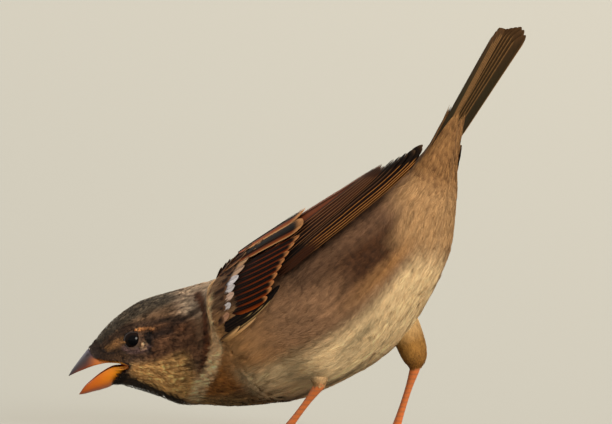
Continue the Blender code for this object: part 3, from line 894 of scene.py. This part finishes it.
class Vanes:
    """Long feathers collected into one mesh, each with its own cell of the map."""

    def __init__(self, cells):
        self.side = math.ceil(math.sqrt(cells))
        self.made = 0
        self.corners = 0
        self.verts, self.tints, self.maps, self.quads = [], [], [], []

    def add_grid(self, points, tint, across, along, wrap=False):
        """A sheaf of strips: the last two axes of points are places along and across each strip."""
        strips, rows, cols = points.shape[:3]
        cell = np.array([self.made % self.side, self.made // self.side])
        uv = np.stack([0.5 + across / 2, along], axis=-1).clip(0, 1)
        uv = (cell + CELL_START + CELL_SIZE * uv) / self.side
        faces = grid_faces(rows, cols, wrap)
        step = np.arange(strips)[:, None, None] * rows * cols + self.corners
        self.verts.append(points.reshape(-1, 3))
        self.tints.append(tint.reshape(-1, 3))
        self.maps.append(np.broadcast_to(uv, points.shape[:3] + (2,)).reshape(-1, 2))
        self.quads.append((faces[None] + step).reshape(-1, 4))
        self.corners += strips * rows * cols

    def add(self, place, length, webs, paint, shaft_rgb, sweep=2.4, tip=0.14, root=0.5,
            blunt=0.5, pitch=0.30, camber=0.25, shaft=0.15, roll=0.0):
        """One feather: barbs as flat ribbons on both sides of a shaft.

        place(t, v, lift) is the point t of the way along, v millimetres towards the outer web
        and lift above; paint(t, x) is the colour there, x from -1 inner to 1 outer edge.
        Barbs start a pitch apart and reach forward by the sweep. The webs, inner and outer, have
        a share root of their width at the root and close over the last share tip, more bluntly
        with a small blunt. They bend down by the camber, and roll tips the outer one up.
        """
        count = max(8, int(length / pitch))
        start = np.clip((np.arange(count)[:, None] + BARB_OVERLAP) / count, 0, 1)
        end = start + np.minimum(sweep / length, 0.8 * (1 - start))
        m = np.linspace(0, 1, 5)[:, None]
        shade = 1 + rng.normal(0, 0.04)
        for sign, full in ((-1, webs[0]), (1, webs[1])):
            reach = web_width(end, full, root, tip, blunt) * (1 + rng.normal(0, 0.012, (count, 1)))
            t = start[:, None] + (end - start)[:, None] * m**1.15
            v = sign * reach[:, None] * m
            x = v / full
            lift = BARB_TWIST - camber * x**2 + roll * v
            tint = paint(np.clip(t, 0, 1), x) * shade
            tint = tint * (1 + rng.normal(0, 0.055, (count, 1, 1, 1)))
            self.add_grid(place(t, v, lift), np.clip(tint, 0, 1), x, t)
        t = np.linspace(0.0, 0.97, 14)[None, :, None] + np.zeros((1, 1, 3))
        turn = np.arange(3) * 2 * math.pi / 3 + math.pi / 2
        thick = shaft * (1.15 - t)
        points = place(t, thick * np.cos(turn), 0.04 + thick * (np.sin(turn) + 0.2))
        tint = np.broadcast_to(linear(shaft_rgb), points.shape)
        self.add_grid(points, tint, 0 * t, t, wrap=True)
        self.made += 1

    def piece(self, name, slot, *nodes):
        arrays = (self.verts, self.tints, self.maps, self.quads)
        verts, tint, uv, quads = (np.concatenate(a) for a in arrays)
        finish_piece(mesh_from(name, verts, [quads], tint, uv), VANE, slot, *nodes)


# Colours of the long feathers: t runs from root to tip, x from -1 inner to 1 outer edge.


def paint_primary(f):
    """The outermost primary has f 0, and the innermost 1."""
    def paint(t, x):
        base = (60, 32, 18) if f < 0.55 else (20, 15, 13)
        c = blend(t, (0.14, base), (0.22, (22, 15, 12)), (0.8, (21, 15, 12)), (0.95, (40, 29, 22)),
                  (1, (110, 82, 58)))
        line = smooth(0.84, 0.93, x) * (1 - 0.4 * smooth(0.85, 1, t)) * (0.45 if f == 0 else 1)
        return over(c, (220, 146, 72) if f < 0.7 else (140, 98, 66), line)
    return paint


def paint_secondary(t, x):
    c = blend(t, (0.0, (16, 12, 10)), (0.32, (18, 12, 10)), (0.48, (58, 34, 21)), (1, (72, 44, 28)))
    return over(c, (164, 110, 70), smooth(0.82, 0.94, x))


def paint_long_tertial(t, x):
    c = blend(t, (0.0, (100, 48, 22)), (0.5, (124, 62, 30)), (1, (112, 66, 38)))
    c = over(c, (54, 30, 18), 0.7 * np.exp(-((x + 0.05) / 0.25) ** 2))
    c = over(c, (64, 34, 20), 0.6 * smooth(0.5, 0.8, x))
    c = over(c, (240, 196, 136), smooth(0.86, 0.98, -x))
    return over(c, (150, 92, 50), smooth(0.92, 0.99, x))


def paint_tertial(t, x):
    c = blend(x, (-0.9, (96, 48, 22)), (-0.7, (20, 15, 13)), (0.22, (18, 14, 12)),
              (0.4, (112, 50, 18)), (0.85, (160, 80, 30)))
    tip = smooth(0.86, 0.96, t + 0.10 * x**2)
    c = over(c, (196, 138, 86), tip)
    return over(c, (214, 166, 112), smooth(0.84, 1.0, np.abs(x)))


def paint_greater(t, x):
    c = blend(x, (-1, (130, 54, 16)), (-0.7, (106, 42, 13)), (-0.45, (22, 14, 11)), (0.25, (19, 12, 10)),
              (0.45, (112, 44, 12)), (0.8, (150, 64, 18)), (1, (170, 82, 30)))
    c = over(c, (30, 21, 18), 0.85 * (1 - smooth(0.15, 0.5, t + 0.15 * x)))
    return over(c, (204, 136, 82), smooth(0.88, 0.97, t + 0.08 * x**2))


def paint_alula(t, x):
    c = blend(t, (0, (30, 23, 20)), (1, (20, 16, 15)))
    return over(c, (206, 166, 108), smooth(0.74, 0.9, x + 0.25 * smooth(0.9, 1, t)))


def paint_carpal(t, x):
    c = blend(t, (0, (150, 108, 66)), (0.6, (206, 156, 100)), (1, (230, 184, 128)))
    return over(c, (36, 26, 20), 0.9 * (1 - smooth(-0.5, 0.3, x)))


def paint_lesser(t, x):
    c = blend(np.abs(x), (0.0, (46, 31, 24)), (0.4, (66, 44, 32)), (1, (128, 88, 62)))
    return over(c, (140, 100, 72), smooth(0.8, 0.98, t))


def paint_scapular(t, x):
    c = blend(x, (-1, (168, 122, 82)), (-0.55, (96, 58, 36)), (-0.3, (20, 16, 15)),
              (0.35, (22, 17, 16)), (0.6, (112, 66, 38)), (1, (176, 128, 86)))
    return over(c, (182, 136, 94), smooth(0.86, 1.0, t))


def paint_median(tip_rgb):
    def paint(t, x):
        c = blend(t, (0, (60, 44, 36)), (0.35, (34, 25, 22)), (0.5, (36, 27, 23)))
        return over(c, tip_rgb, smooth(0.5, 0.66, t + 0.16 * x**2))
    return paint


# Wing feathers in groups. Each has a number of feathers, and the first and the last one's root
# and tip (station, angle), bow in degrees, lift at root and tip, inner and outer web.
# The primaries' tips and bows follow a curve of their own, from the outermost to the innermost.
PRIMARY_TIPS = ((11.9, 92, -7.5), (12.4, 94.5, -9), (12.1, 87, -8.5), (11.66, 74, -7.5), (11.27, 62.5, -4))
PRIMARIES = (7, (8.8, 82, *PRIMARY_TIPS[0], 1.0, 0.9, 1.3, 0.9),
             (8.8, 72, *PRIMARY_TIPS[-1], 1.6, 2.5, 2.6, 1.0))
SECONDARIES = (5, (8.6, 71, 10.95, 59, -1.5, 1.8, 2.6, 2.8, 1.1),
               (8.5, 58, 10.6, 46, -1, 2.4, 2.8, 4.6, 1.5))
GREATER = (9, (8.34, 55, 9.24, 66, 1, 2.7, 2.95, 1.5, 1.45), (8.12, 86, 8.62, 91.5, 1, 2.6, 2.5, 1.3, 1.2))
MEDIAN = (9, (8.26, 34, 8.66, 42, 0.5, 2.7, 3.3, 1.6, 1.5), (7.68, 83, 8.13, 87, 0.5, 2.2, 3.0, 1.3, 1.3))
MEDIAN_TIPS = (
    (170, 122, 80), (184, 138, 96), (200, 156, 116), (214, 176, 146), (240, 234, 236),
    (236, 228, 228), (226, 190, 166), (236, 226, 224), (200, 148, 114),
)
LESSER_ROWS = (
    (8, (8.12, 34, 8.40, 40, 0, 2.9, 3.25, 1.3, 1.3), (7.62, 84, 8.02, 87, 0, 2.4, 2.9, 1.2, 1.2)),
    (8, (7.98, 33, 8.26, 38, 0, 2.3, 3.2, 1.2, 1.2), (7.5, 84, 7.9, 87, 0, 1.8, 2.6, 1.1, 1.1)),
    (8, (7.82, 32, 8.14, 37, 0, 1.6, 3.1, 1.2, 1.2), (7.42, 84, 7.8, 86, 0, 1.2, 2.3, 1.1, 1.1)),
)
ALULA = (3, (7.9, 91, 8.5, 91.5, 1, 2.3, 2.3, 1.5, 1.2), (7.85, 95, 8.8, 89.5, 3.5, 2.1, 1.9, 1.6, 1.0))
CARPAL = (2, (7.6, 97, 8.2, 97.5, 1, 2.2, 2.1, 0.8, 0.7), (7.6, 98.5, 8.4, 98.5, 1, 1.9, 1.6, 0.8, 0.7))
TERTIALS = (  # each on its own
    ((8.55, 42, 10.85, 46, 0, 3.0, 2.4, 3.8, 4.3), paint_long_tertial),
    ((8.30, 45, 9.31, 60, 0, 3.1, 3.6, 4.2, 1.8), paint_tertial),
    ((8.20, 27, 9.32, 41, 0, 3.3, 3.6, 3.0, 3.6), paint_tertial),
)
SCAPULARS = (
    (6, (8.14, 12, 8.54, 20, 0, 2.2, 3.4, 1.7, 1.7), (8.02, 42, 8.44, 46, 0, 2.7, 3.5, 1.6, 1.6)),
    (6, (7.92, 12, 8.32, 17, 0, 1.2, 3.2, 1.6, 1.6), (7.8, 40, 8.2, 43, 0, 1.9, 3.4, 1.5, 1.5)),
    (6, (7.68, 12, 8.12, 15, 0, 0.4, 3.0, 1.5, 1.5), (7.6, 36, 8.0, 39, 0, 1.0, 3.2, 1.4, 1.4)),
)
TIP_LIFT = {1: 3.5, -1: 0.4}  # how far the tips of the left and the right wing stand clear of the rump
TIP_CLEARS = 9.8  # from this station
ANGLE_NOISE, STATION_NOISE = 0.25, 0.015  # how far feathers stray from their exact places
WING_SHAFT = (60, 40, 30)


def wing_place(feather, mirror):
    """The place() of a feather that follows the folded wing, and its length."""
    s0, a0, s1, a1, bow, lift0, lift1 = feather[:7]

    def shaft(t):
        s = s0 + (s1 - s0) * t
        return s, a0 + (a1 - a0) * t + bow * 4 * t * (1 - t)

    def place(t, v, up):
        s, a = shaft(t)
        further_s, further_a = shaft(t + 0.01)
        run, per_degree = body.steps(s, a * mirror)
        total = lift0 + (lift1 - lift0) * t + up
        total = total * (0.35 + 0.65 * smooth(4, 30, a))
        total = total + TIP_LIFT[mirror] * (np.clip(s - TIP_CLEARS, 0, None) / 2.2) ** 1.2
        per_degree = per_degree + total * math.pi / 180
        du, dw = (further_s - s) * run, (further_a - a) * per_degree
        size = np.hypot(du, dw)
        return body.at(s - dw / size * v / run, mirror * (a + du / size * v / per_degree), total)

    t = np.linspace(0, 1, 20)
    points = place(t, 0 * t, 0 * t)
    return place, np.linalg.norm(np.diff(points, axis=0), axis=1).sum()


def between(group):
    """The feathers of a group, from its first to its last."""
    count, first, last = group
    return np.linspace(first, last, count)


def add_feather(vanes, row, paint, mirror, **shape):
    """One wing feather, a little off its exact place."""
    row = np.array(row, float)
    row[1:4:2] += rng.normal(0, ANGLE_NOISE, 2)
    row[2] += rng.normal(0, STATION_NOISE)
    place, length = wing_place(row, mirror)
    vanes.add(place, length, row[7:9], paint, WING_SHAFT, **shape)


def make_wing(side, mirror):
    """The long feathers and the coverts of one wing."""
    primaries = Vanes(PRIMARIES[0])
    rows = between(PRIMARIES)
    rows[:, 2:5] = curve(PRIMARY_TIPS, np.linspace(0, len(PRIMARY_TIPS) - 1, len(rows)))
    for i, row in enumerate(rows):
        paint = paint_primary(i / (len(rows) - 1))
        add_feather(primaries, row, paint, mirror, tip=0.24, root=0.7, blunt=0.6, sweep=3.4,
                    camber=0.04, shaft=0.09, roll=0.16)
    primaries.piece(f"wing_{side}_primary_feathers", "wing_primaries", f"wing_{side}_primaries")

    secondaries = Vanes(SECONDARIES[0] + len(TERTIALS))
    for row in between(SECONDARIES):
        add_feather(secondaries, row, paint_secondary, mirror, tip=0.2, root=0.8, sweep=2.6,
                    camber=0.04, shaft=0.09, roll=0.14)
    for row, paint in TERTIALS:
        add_feather(secondaries, row, paint, mirror, tip=0.26, root=0.6, sweep=2.2)
    secondaries.piece(f"wing_{side}_secondary_feathers", "wing_secondaries", f"wing_{side}_secondaries")

    rows = [(row, paint_carpal) for row in between(CARPAL)]
    rows += [(row, paint_alula) for row in between(ALULA)]
    rows += [(row, paint_greater) for row in between(GREATER)]
    rows += [(row, paint_median(rgb)) for row, rgb in zip(between(MEDIAN), MEDIAN_TIPS)]
    rows += [(row, paint_lesser) for group in LESSER_ROWS for row in between(group)]
    rows += [(row, paint_scapular) for group in SCAPULARS for row in between(group)]
    coverts = Vanes(len(rows))
    for row, paint in rows:
        add_feather(coverts, row, paint, mirror, tip=0.45, root=0.5, pitch=0.2, sweep=1.6, shaft=0.08)
    coverts.piece(f"wing_{side}_covert_feathers", "wing_coverts", f"wing_{side}_coverts")


# Tail

TAIL_ROOT = np.array([31.2, 0.0, 72.6])
TAIL_PITCH = math.radians(56)
TAIL_LENGTH, TAIL_NOTCH = 44.0, 1.8
TAIL_ROOT_SPREAD, TAIL_TIP_SPREAD = 4.1, 7.9  # the outermost shafts from the middle
TAIL_ARCH, TAIL_ARCH_SPREAD = 1.3, 9.4  # how far the fan hangs, and how far out from the middle
TAIL_PAIRS = 6
TAIL_SHAFT = (66, 48, 32)


def paint_tail(t, x):
    c = blend(t, (0, (46, 39, 25)), (0.6, (56, 46, 28)), (0.92, (70, 50, 30)), (1, (96, 66, 40)))
    c = over(c, (42, 33, 21), 0.5 * np.exp(-((x - 0.1) / 0.3) ** 2))
    return over(c, (150, 108, 66), smooth(0.8, 1.0, np.abs(x)))


def tail_place(mirror, f, length, layer):
    """The place() of a tail feather, f of the way from the middle pair to the outermost."""
    ahead = np.array([math.cos(TAIL_PITCH), 0, math.sin(TAIL_PITCH)])
    up = np.array([-math.sin(TAIL_PITCH), 0, math.cos(TAIL_PITCH)])

    def place(t, v, lift):
        side = f * (TAIL_ROOT_SPREAD + (TAIL_TIP_SPREAD - TAIL_ROOT_SPREAD) * t**0.8) + v
        hang = TAIL_ARCH * (side / TAIL_ARCH_SPREAD) ** 2 * (0.5 + 0.5 * t)
        along = (length * t)[..., None] * ahead
        across = side[..., None] * np.array([0, -mirror, 0])
        return TAIL_ROOT + SHIFT + along + across + (layer + lift - hang)[..., None] * up

    return place


def make_tail():
    """Pairs of feathers that overlap like a closed fan, the middle pair on top."""
    vanes = Vanes(2 * TAIL_PAIRS)
    for mirror in SIDES.values():
        for i in range(TAIL_PAIRS):
            f = (i + 0.5) / (TAIL_PAIRS - 0.5)
            length = TAIL_LENGTH - TAIL_NOTCH * (1 - f) ** 1.3 - 2.6 * max(0, f - 0.7) / 0.3
            layer = 0.45 - 0.18 * i - (0.09 if mirror < 0 else 0.0)
            outer, inner = 2.6 - 1.5 * f, 2.6 + 0.6 * f
            vanes.add(
                tail_place(mirror, f, length, layer), length, (inner, outer), paint_tail, TAIL_SHAFT,
                tip=0.09, root=0.6, sweep=3.4, pitch=0.32, camber=0.1, shaft=0.2,
            )
    vanes.piece("tail_feathers", "tail", "tail")


# Bill, mouth and eyes

UPPER_BILL = (  # forward from the corner of the mouth, lower and upper edge, half width
    (0.2, 0.05, 0.55, 4.5), (2.0, 0.35, 1.05, 4.6), (5.5, 0.5, 1.85, 4.4), (8.5, -0.1, 2.95, 4.1),
    (10.4, -0.75, 3.8, 3.7), (11.8, -1.35, 2.4, 3.0), (13.4, -2.05, 0.4, 2.0),
    (14.9, -2.8, -1.6, 0.95), (15.8, -3.3, -3.1, 0.15),
)
LOWER_BILL = (  # the same
    (0.2, -0.8, -0.3, 4.4), (1.8, -3.0, -0.45, 4.4), (4.3, -5.45, -0.75, 4.1), (7.0, -6.55, -2.2, 3.6),
    (9.5, -7.25, -4.1, 2.8), (11.5, -7.85, -5.9, 1.75), (13.0, -8.15, -7.95, 0.2),
)
# Forward, up, half width.
TONGUE = ((3.2, -2.2, 1.3), (5.2, -2.85, 1.25), (7.2, -4.15, 1.0), (8.8, -5.3, 0.35))
BILL_HOLLOW = 0.45  # how deep the inside is, as a share of the outside
NOSTRIL = (10.6, 2.15, 2.6)  # forward, up, out
NOSTRIL_RADIUS, NOSTRIL_DEPTH = 0.42, 0.45
GAPE_FOLD = (  # forward, up and out along the fold, from the upper half of the bill to the lower
    (4.6, 0.75, 4.5), (3.2, 0.72, 4.62), (1.8, 0.55, 4.75), (0.6, 0.22, 4.9), (-0.1, -0.2, 5.0),
    (0.3, -0.75, 4.9), (1.2, -1.1, 4.7), (2.2, -1.3, 4.5), (3.2, -1.5, 4.3),
)


def bill_half(rows, sign, paint, steps=72, arc=56):
    """Half of the bill: a rounded outside that meets the hollow inside in a sharp cutting edge."""
    forward, low, high, half = curve(rows, np.linspace(0, len(rows) - 1, steps)).T[:, :, None]
    base = low if sign > 0 else high
    depth = high - low
    a = np.linspace(0, math.pi, arc)[None, :]
    b = a[:, -2:0:-1]
    ridge = 1 + 0.05 * np.exp(-((a - math.pi / 2) / 0.25) ** 2)
    wall = 0.3 * np.minimum(1, half)
    out = np.hstack([half * np.cos(a), (half - wall) * np.cos(b)])
    up = base + sign * depth * np.hstack([np.sin(a) ** 0.8 * ridge, BILL_HOLLOW * np.sin(b)])
    forward = np.broadcast_to(forward, out.shape)
    inside = np.broadcast_to(np.arange(out.shape[1]) >= arc, out.shape)
    height = np.clip((up - base) / np.maximum(depth, 0.05) * sign, 0, 1)
    cols = out.shape[1]
    caps = [cap_faces(0, arc), cap_faces((steps - 1) * cols, arc)[:, ::-1]]
    faces = [grid_faces(steps, cols, wrap=True), np.concatenate(caps)]
    return head_point(forward, up, out), faces, paint(forward, height, inside)


def cap_faces(start, arc):
    """Faces between the outer and the inner arc at one end of half a bill."""
    cols = 2 * arc - 2
    i = np.arange(arc - 1)
    ring = np.stack([i, i + 1, (cols - i - 1) % cols, (cols - i) % cols], axis=-1)
    return start + ring


# Colours of the bill: height runs from its cutting edge to its ridge.


def paint_upper(forward, height, inside):
    # painted highlight: the ridge lighter and bluer than the dark purplish horn beside it
    c = blend(height, (0.0, (148, 62, 20)), (0.16, (94, 41, 27)), (0.45, (62, 34, 32)),
              (0.8, (50, 38, 50)), (1, (74, 66, 90)))
    base = 1 - smooth(5.5, 11.5, forward)
    c = over(c, (222, 122, 26), base * (1 - smooth(0.35, 0.8, height)))
    c = over(c, (44, 34, 42), 0.7 * smooth(12.6, 15.4, forward))
    return over(c, (130, 30, 18), inside)


def paint_lower(forward, height, inside):
    c = blend(forward, (0, (238, 158, 20)), (4, (228, 132, 14)), (8, (206, 104, 12)),
              (12, (188, 86, 16)), (13, (150, 70, 24)))
    c = over(c, (184, 70, 24), 0.5 * smooth(0.5, 1, height))
    return over(c, (150, 38, 22), inside)


def make_bill():
    points, faces, tint = bill_half(UPPER_BILL, 1, paint_upper)
    forward, up, out = head_place(points)
    for mirror in SIDES.values():
        off = np.stack([forward, up, out * mirror], axis=-1) - NOSTRIL
        dent = np.exp(-(off**2).sum(axis=-1, keepdims=True) / NOSTRIL_RADIUS**2)
        points = points - LEFT * mirror * NOSTRIL_DEPTH * dent
        # painted shade: the bill's colour darkened inside the nostril's dent
        tint = tint * (1 - 0.85 * dent)
    finish_piece(mesh_from("bill_upper_horn", points, faces, tint), BILL, "bill_dark", "bill_upper")
    points, faces, tint = bill_half(LOWER_BILL, -1, paint_lower)
    finish_piece(mesh_from("bill_lower_horn", points, faces, tint), BILL, "bill_pale", "bill_lower")


def make_tongue(rows=24, cols=20):
    forward, up, half = curve(TONGUE, np.linspace(0, len(TONGUE) - 1, rows)).T[:, :, None]
    a = np.arange(cols) * 2 * math.pi / cols
    points = head_point(forward + 0 * a, up + 0.22 * np.sin(a), half * np.cos(a))
    tint = np.broadcast_to(linear((196, 96, 78)), points.shape)
    finish_piece(mesh_from("tongue_flesh", points, tube_faces(rows, cols), tint), MOUTH, "mouth", "tongue")


def sweep_tube(path, radii, cols=12, wobble=1.0):
    """A round tube along a path, closed at both ends, as points and faces."""
    path = np.asarray(path, float)
    ahead = unit(np.gradient(path, axis=0))
    side = unit(np.cross(ahead, UP + 0.01))
    other = np.cross(ahead, side)
    a = np.arange(cols) * 2 * math.pi / cols
    radii = np.asarray(radii, float).reshape(-1, 1) * wobble
    ring = side[:, None] * np.cos(a)[:, None] + other[:, None] * np.sin(a)[:, None]
    return path[:, None] + ring * radii[..., None], tube_faces(len(path), cols)


def gape_fold(mirror, rows=60, cols=12):
    """The soft fold that joins the two halves of the bill at one corner of the mouth."""
    f, u, o = curve(GAPE_FOLD, np.linspace(0, len(GAPE_FOLD) - 1, rows)).T
    radii = 0.40 * (1 - 0.8 * np.abs(np.linspace(-1, 1, rows)) ** 2)
    tint = blend(f, (-0.2, (222, 112, 30)), (2, (244, 160, 36)), (6, (226, 130, 40)))
    return sweep_tube(head_point(f, u, o * mirror), radii, cols), tint.repeat(cols, axis=0)


def gape_web(mirror, rows=16, cols=24):
    """The web of skin that closes the corner of the mouth, a little inside the fold."""
    depth, rise = np.meshgrid(np.linspace(0, 1, rows), np.linspace(0, 1, cols), indexing="ij")
    f = -0.3 + depth * (3.4 - 1.3 * np.sin(math.pi * rise))
    low, high = -0.45 - 0.22 * f.clip(0), 0.35 + 0.12 * f.clip(0)
    u = low + (high - low) * rise
    o = 4.35 - 0.1 * f.clip(0) - 1.3 * np.sin(math.pi * rise) * (0.3 + 0.7 * depth)
    # painted shade: the web darker the deeper it lies in the mouth
    tint = blend(depth, (0, (150, 30, 12)), (1, (96, 16, 10))).reshape(-1, 3)
    return (head_point(f, u, o * mirror), [grid_faces(rows, cols)]), tint


def make_gape():
    parts, tints = zip(*(make(mirror) for mirror in SIDES.values() for make in (gape_fold, gape_web)))
    finish_piece(mesh_from("gape_folds", *joined(parts), np.concatenate(tints)), MOUTH, "mouth")


def make_eye(side, mirror, rows=40, cols=56):
    """An eyeball with its iris, and the lids round it."""
    centre = head_point(EYE[0], EYE[1], EYE[2] * mirror)
    polar = np.linspace(0, math.pi, rows)[:, None]
    turn = np.arange(cols)[None, :] * 2 * math.pi / cols
    ring = AHEAD * np.cos(turn)[..., None] + UP * np.sin(turn)[..., None]
    bulge = EYE_RADIUS + 0.12 * np.exp(-((polar / 0.45) ** 2))
    out = LEFT * mirror * np.cos(polar)[..., None] + ring * np.sin(polar)[..., None]
    iris = blend(EYE_RADIUS * np.sin(polar) + 0 * turn, (1.25, (4, 4, 5)), (1.4, (18, 10, 7)),
                 (2.0, (26, 15, 10)), (2.5, (9, 6, 5)))
    quads = grid_faces(rows, cols, wrap=True)[:, ::mirror]
    obj = mesh_from(f"eyeball_{side}", centre + bulge[..., None] * out, [quads], iris)
    finish_piece(obj, EYEBALL, "eye", f"eye_{side}")
    make_lid(side, mirror, centre)


def make_lid(side, mirror, centre, rows=72, cols=12):
    """The bare rim of the two lids, a soft fold that hugs the eyeball round its opening."""
    turn = np.arange(rows)[:, None] * 2 * math.pi / rows
    roll = np.arange(cols)[None, :] * 2 * math.pi / cols
    ahead, up = EYE_OPENING * 1.05 * np.cos(turn), EYE_OPENING * 0.97 * np.sin(turn)
    out = np.sqrt(EYE_RADIUS**2 - np.hypot(ahead, up) ** 2) - 0.02
    ring = AHEAD * ahead[..., None] + UP * up[..., None]
    thick = 0.19 + 0.04 * np.cos(2 * turn) + 0.015 * np.sin(9 * turn)
    points = centre + ring + unit(ring) * (thick * np.cos(roll))[..., None]
    points = points + LEFT * mirror * (out + thick * 0.9 * np.sin(roll))[..., None]
    tint = np.broadcast_to(linear((38, 29, 27)), points.shape)
    quads = grid_faces(rows + 1, cols, wrap=True) % (rows * cols)  # closed round both ways
    finish_piece(mesh_from(f"lid_{side}", points, [quads], tint), SKIN, "plumage_head")


# Feet

TOES = {  # turn in degrees, length, length of the claw, number of pads
    "hallux": (178, 8.0, 6.0, 1),
    "inner": (-30, 9.5, 4.6, 2),
    "middle": (0, 14.0, 5.2, 3),
    "outer": (27, 10.5, 4.4, 4),
}
SOLE_HEIGHT = 0.72  # of a toe's middle over the floor
SHANK_RADII = (1.2, 1.3, 0.92, 0.88, 1.08, 1.3)
SHANK_PLACES = (-0.06, 0.04, 0.3, 0.6, 0.85, 0.98)  # how far down the shank each radius is
SHANK_SCUTE, TOE_SCUTE = 1.25, 0.8  # length of a scale
SHANK_GRID, TOE_GRID, CLAW_GRID = (90, 24), (64, 20), (28, 14)  # rings and points round


def scuted(length, scute, rows, cols):
    """How far scales stand out round a tube, as a factor on its radius."""
    along = np.linspace(0, length / scute, rows)[:, None]
    a = np.arange(cols)[None, :] * 2 * math.pi / cols
    return 1 + 0.045 * (np.abs(np.sin(math.pi * along)) ** 0.4 - 0.7) * (0.6 + 0.4 * np.cos(a))


def shank_tube(ankle, sole):
    t = np.linspace(0, len(SHANK_RADII) - 1, SHANK_GRID[0])
    places, radii = curve(np.array([SHANK_PLACES, SHANK_RADII]).T, t).T
    path = ankle + (sole + UP - ankle) * places[:, None]
    return sweep_tube(path, radii, SHANK_GRID[1], scuted(19, SHANK_SCUTE, *SHANK_GRID))


def toe_tube(base, ahead, length, pads):
    """A toe with its pads, flattened where it stands on the floor."""
    f = np.linspace(0, 1, TOE_GRID[0])[:, None]
    pad = 1 - 0.10 * np.cos(2 * math.pi * pads * f)
    path = base + ahead * (length * f - 0.2) + UP * (0.12 * f)
    radii = 0.94 * (1.0 - 0.22 * f) * pad * np.sqrt(np.clip(1.0 - (f - 0.9).clip(0) * 4, 0.6, 1))
    points, faces = sweep_tube(path, radii, TOE_GRID[1], scuted(length, TOE_SCUTE, *TOE_GRID))
    points[..., 2] = np.maximum(points[..., 2], 0.02)
    return points, faces


def claw_tube(base, ahead, length, claw):
    """A claw that rises from the toe's end and curves down to its point."""
    f = np.linspace(0, 1, CLAW_GRID[0])[:, None]
    rise = 0.95 * np.sin(math.pi * np.minimum(1, f * 1.05)) - 0.55 * f
    path = base + ahead * (length - 0.25 + (claw + 0.37) * f)
    path = path + UP * (0.12 + rise * claw / 5 + 0.2 * f)
    return sweep_tube(path, 0.60 * (1 - f) ** 0.6 + 0.05, CLAW_GRID[1])


def make_foot(side, ankle, sole, turn):
    """The shank and the toes as one piece, and each claw."""
    base = sole + UP * SOLE_HEIGHT
    parts = [shank_tube(ankle, sole)]
    claws = {}
    for toe, (spread, length, claw, pads) in TOES.items():
        a = math.radians(turn) + SIDES[side] * math.radians(spread)
        ahead = np.array([-math.cos(a), -math.sin(a), 0])
        parts.append(toe_tube(base, ahead, length, pads))
        claws[toe] = claw_tube(base, ahead, length, claw)
    verts, faces = joined(parts)
    rings = 0.5 * smooth(0.3, 0.9, np.sin(verts[:, 2] * 5.0)) * (verts[:, 2] > 2.5)
    tint = over(np.broadcast_to(linear((208, 112, 54)), verts.shape), (150, 96, 66), rings)
    finish_piece(mesh_from(f"foot_{side}_scaled", verts, faces, tint), SCALES, "leg", f"foot_{side}")
    down = np.linspace(0, 1, CLAW_GRID[0])
    tint = blend(down, (0, (120, 84, 62)), (0.5, (74, 52, 42)), (1, (40, 30, 27)))
    tint = tint.repeat(CLAW_GRID[1], axis=0)
    for toe, (points, made) in claws.items():
        name = f"claw_{toe}_{side}"
        finish_piece(mesh_from(f"{name}_horn", points, made, tint), CLAW, "claw", name)


# Floor, light and camera

FRAME_WIDTH = 160.3  # millimetres across the picture at the bird
VIEW_FROM = math.radians(34)
VIEW_DOWN = math.radians(3)
DISTANCE = 2500.0
SENSOR = 36.0
FLOOR_HALF = 20000.0
AIM = (-6.3, 58.9)  # the picture's centre, right of and above the point under the trunk


def make_camera():
    a, e = VIEW_FROM, VIEW_DOWN
    right = np.array([math.cos(a), math.sin(a), 0])
    look = np.array([-math.sin(a) * math.cos(e), math.cos(a) * math.cos(e), -math.sin(e)])
    up = np.cross(right, look)
    data = bpy.data.cameras.new("camera")
    data.sensor_width = SENSOR
    data.lens = SENSOR * DISTANCE / FRAME_WIDTH
    data.clip_end = 3 * FLOOR_HALF * MM
    cam = link(bpy.data.objects.new("camera", data))
    spot = SHIFT + right * AIM[0] + up * AIM[1] - look * DISTANCE
    turn = np.stack([right, up, -look], axis=1)
    cam.matrix_world = Matrix.Translation(spot * MM) @ Matrix(turn.tolist()).to_4x4()
    bpy.context.scene.camera = cam


def make_floor():
    corners = np.array([(-1, -1, 0), (1, -1, 0), (1, 1, 0), (-1, 1, 0)]) * FLOOR_HALF
    floor = mesh_from("floor", corners, [np.arange(4)[None, :]])
    mat, _ = new_material("floor", Roughness=0.8, Base_Color=(*linear((90, 98, 100)), 1))
    floor.data.materials.append(mat)


def sun(name, azimuth, elevation, strength, spread, colour):
    """A distant lamp, with the directions to it and its apparent size in degrees."""
    a, e = math.radians(azimuth), math.radians(elevation)
    back = Vector((math.sin(a) * math.cos(e), -math.cos(a) * math.cos(e), math.sin(e)))
    data = bpy.data.lights.new(name, "SUN")
    data.energy = strength
    data.angle = math.radians(spread)
    data.color = colour
    lamp = link(bpy.data.objects.new(name, data))
    lamp.rotation_euler = back.to_track_quat("Z", "Y").to_euler()


def make_lights():
    sun("key", azimuth=72, elevation=22, strength=3.0, spread=22, colour=(1.0, 0.92, 0.80))
    sun("rim", azimuth=206, elevation=36, strength=5.5, spread=5, colour=(1.0, 0.86, 0.66))
    world = bpy.data.worlds.new("studio")
    world.use_nodes = True
    sky = world.node_tree.nodes["Background"].inputs
    sky["Color"].default_value = (0.99, 0.94, 0.87, 1)
    sky["Strength"].default_value = 0.75
    bpy.context.scene.world = world


make_camera()
make_floor()
make_lights()
thighs = thigh_surfaces()
make_skin(thighs)
make_coat()
make_bristles()
make_thigh_coats(thighs)
for side, mirror in SIDES.items():
    make_wing(side, mirror)
make_tail()
make_bill()
make_tongue()
make_gape()
for side, mirror in SIDES.items():
    make_eye(side, mirror)
for side, (_, _, ankle, sole, turn) in LEGS.items():
    make_foot(side, np.array(ankle) + SHIFT, np.array(sole) + SHIFT, turn)
bpy.context.scene.view_settings.view_transform = "Standard"
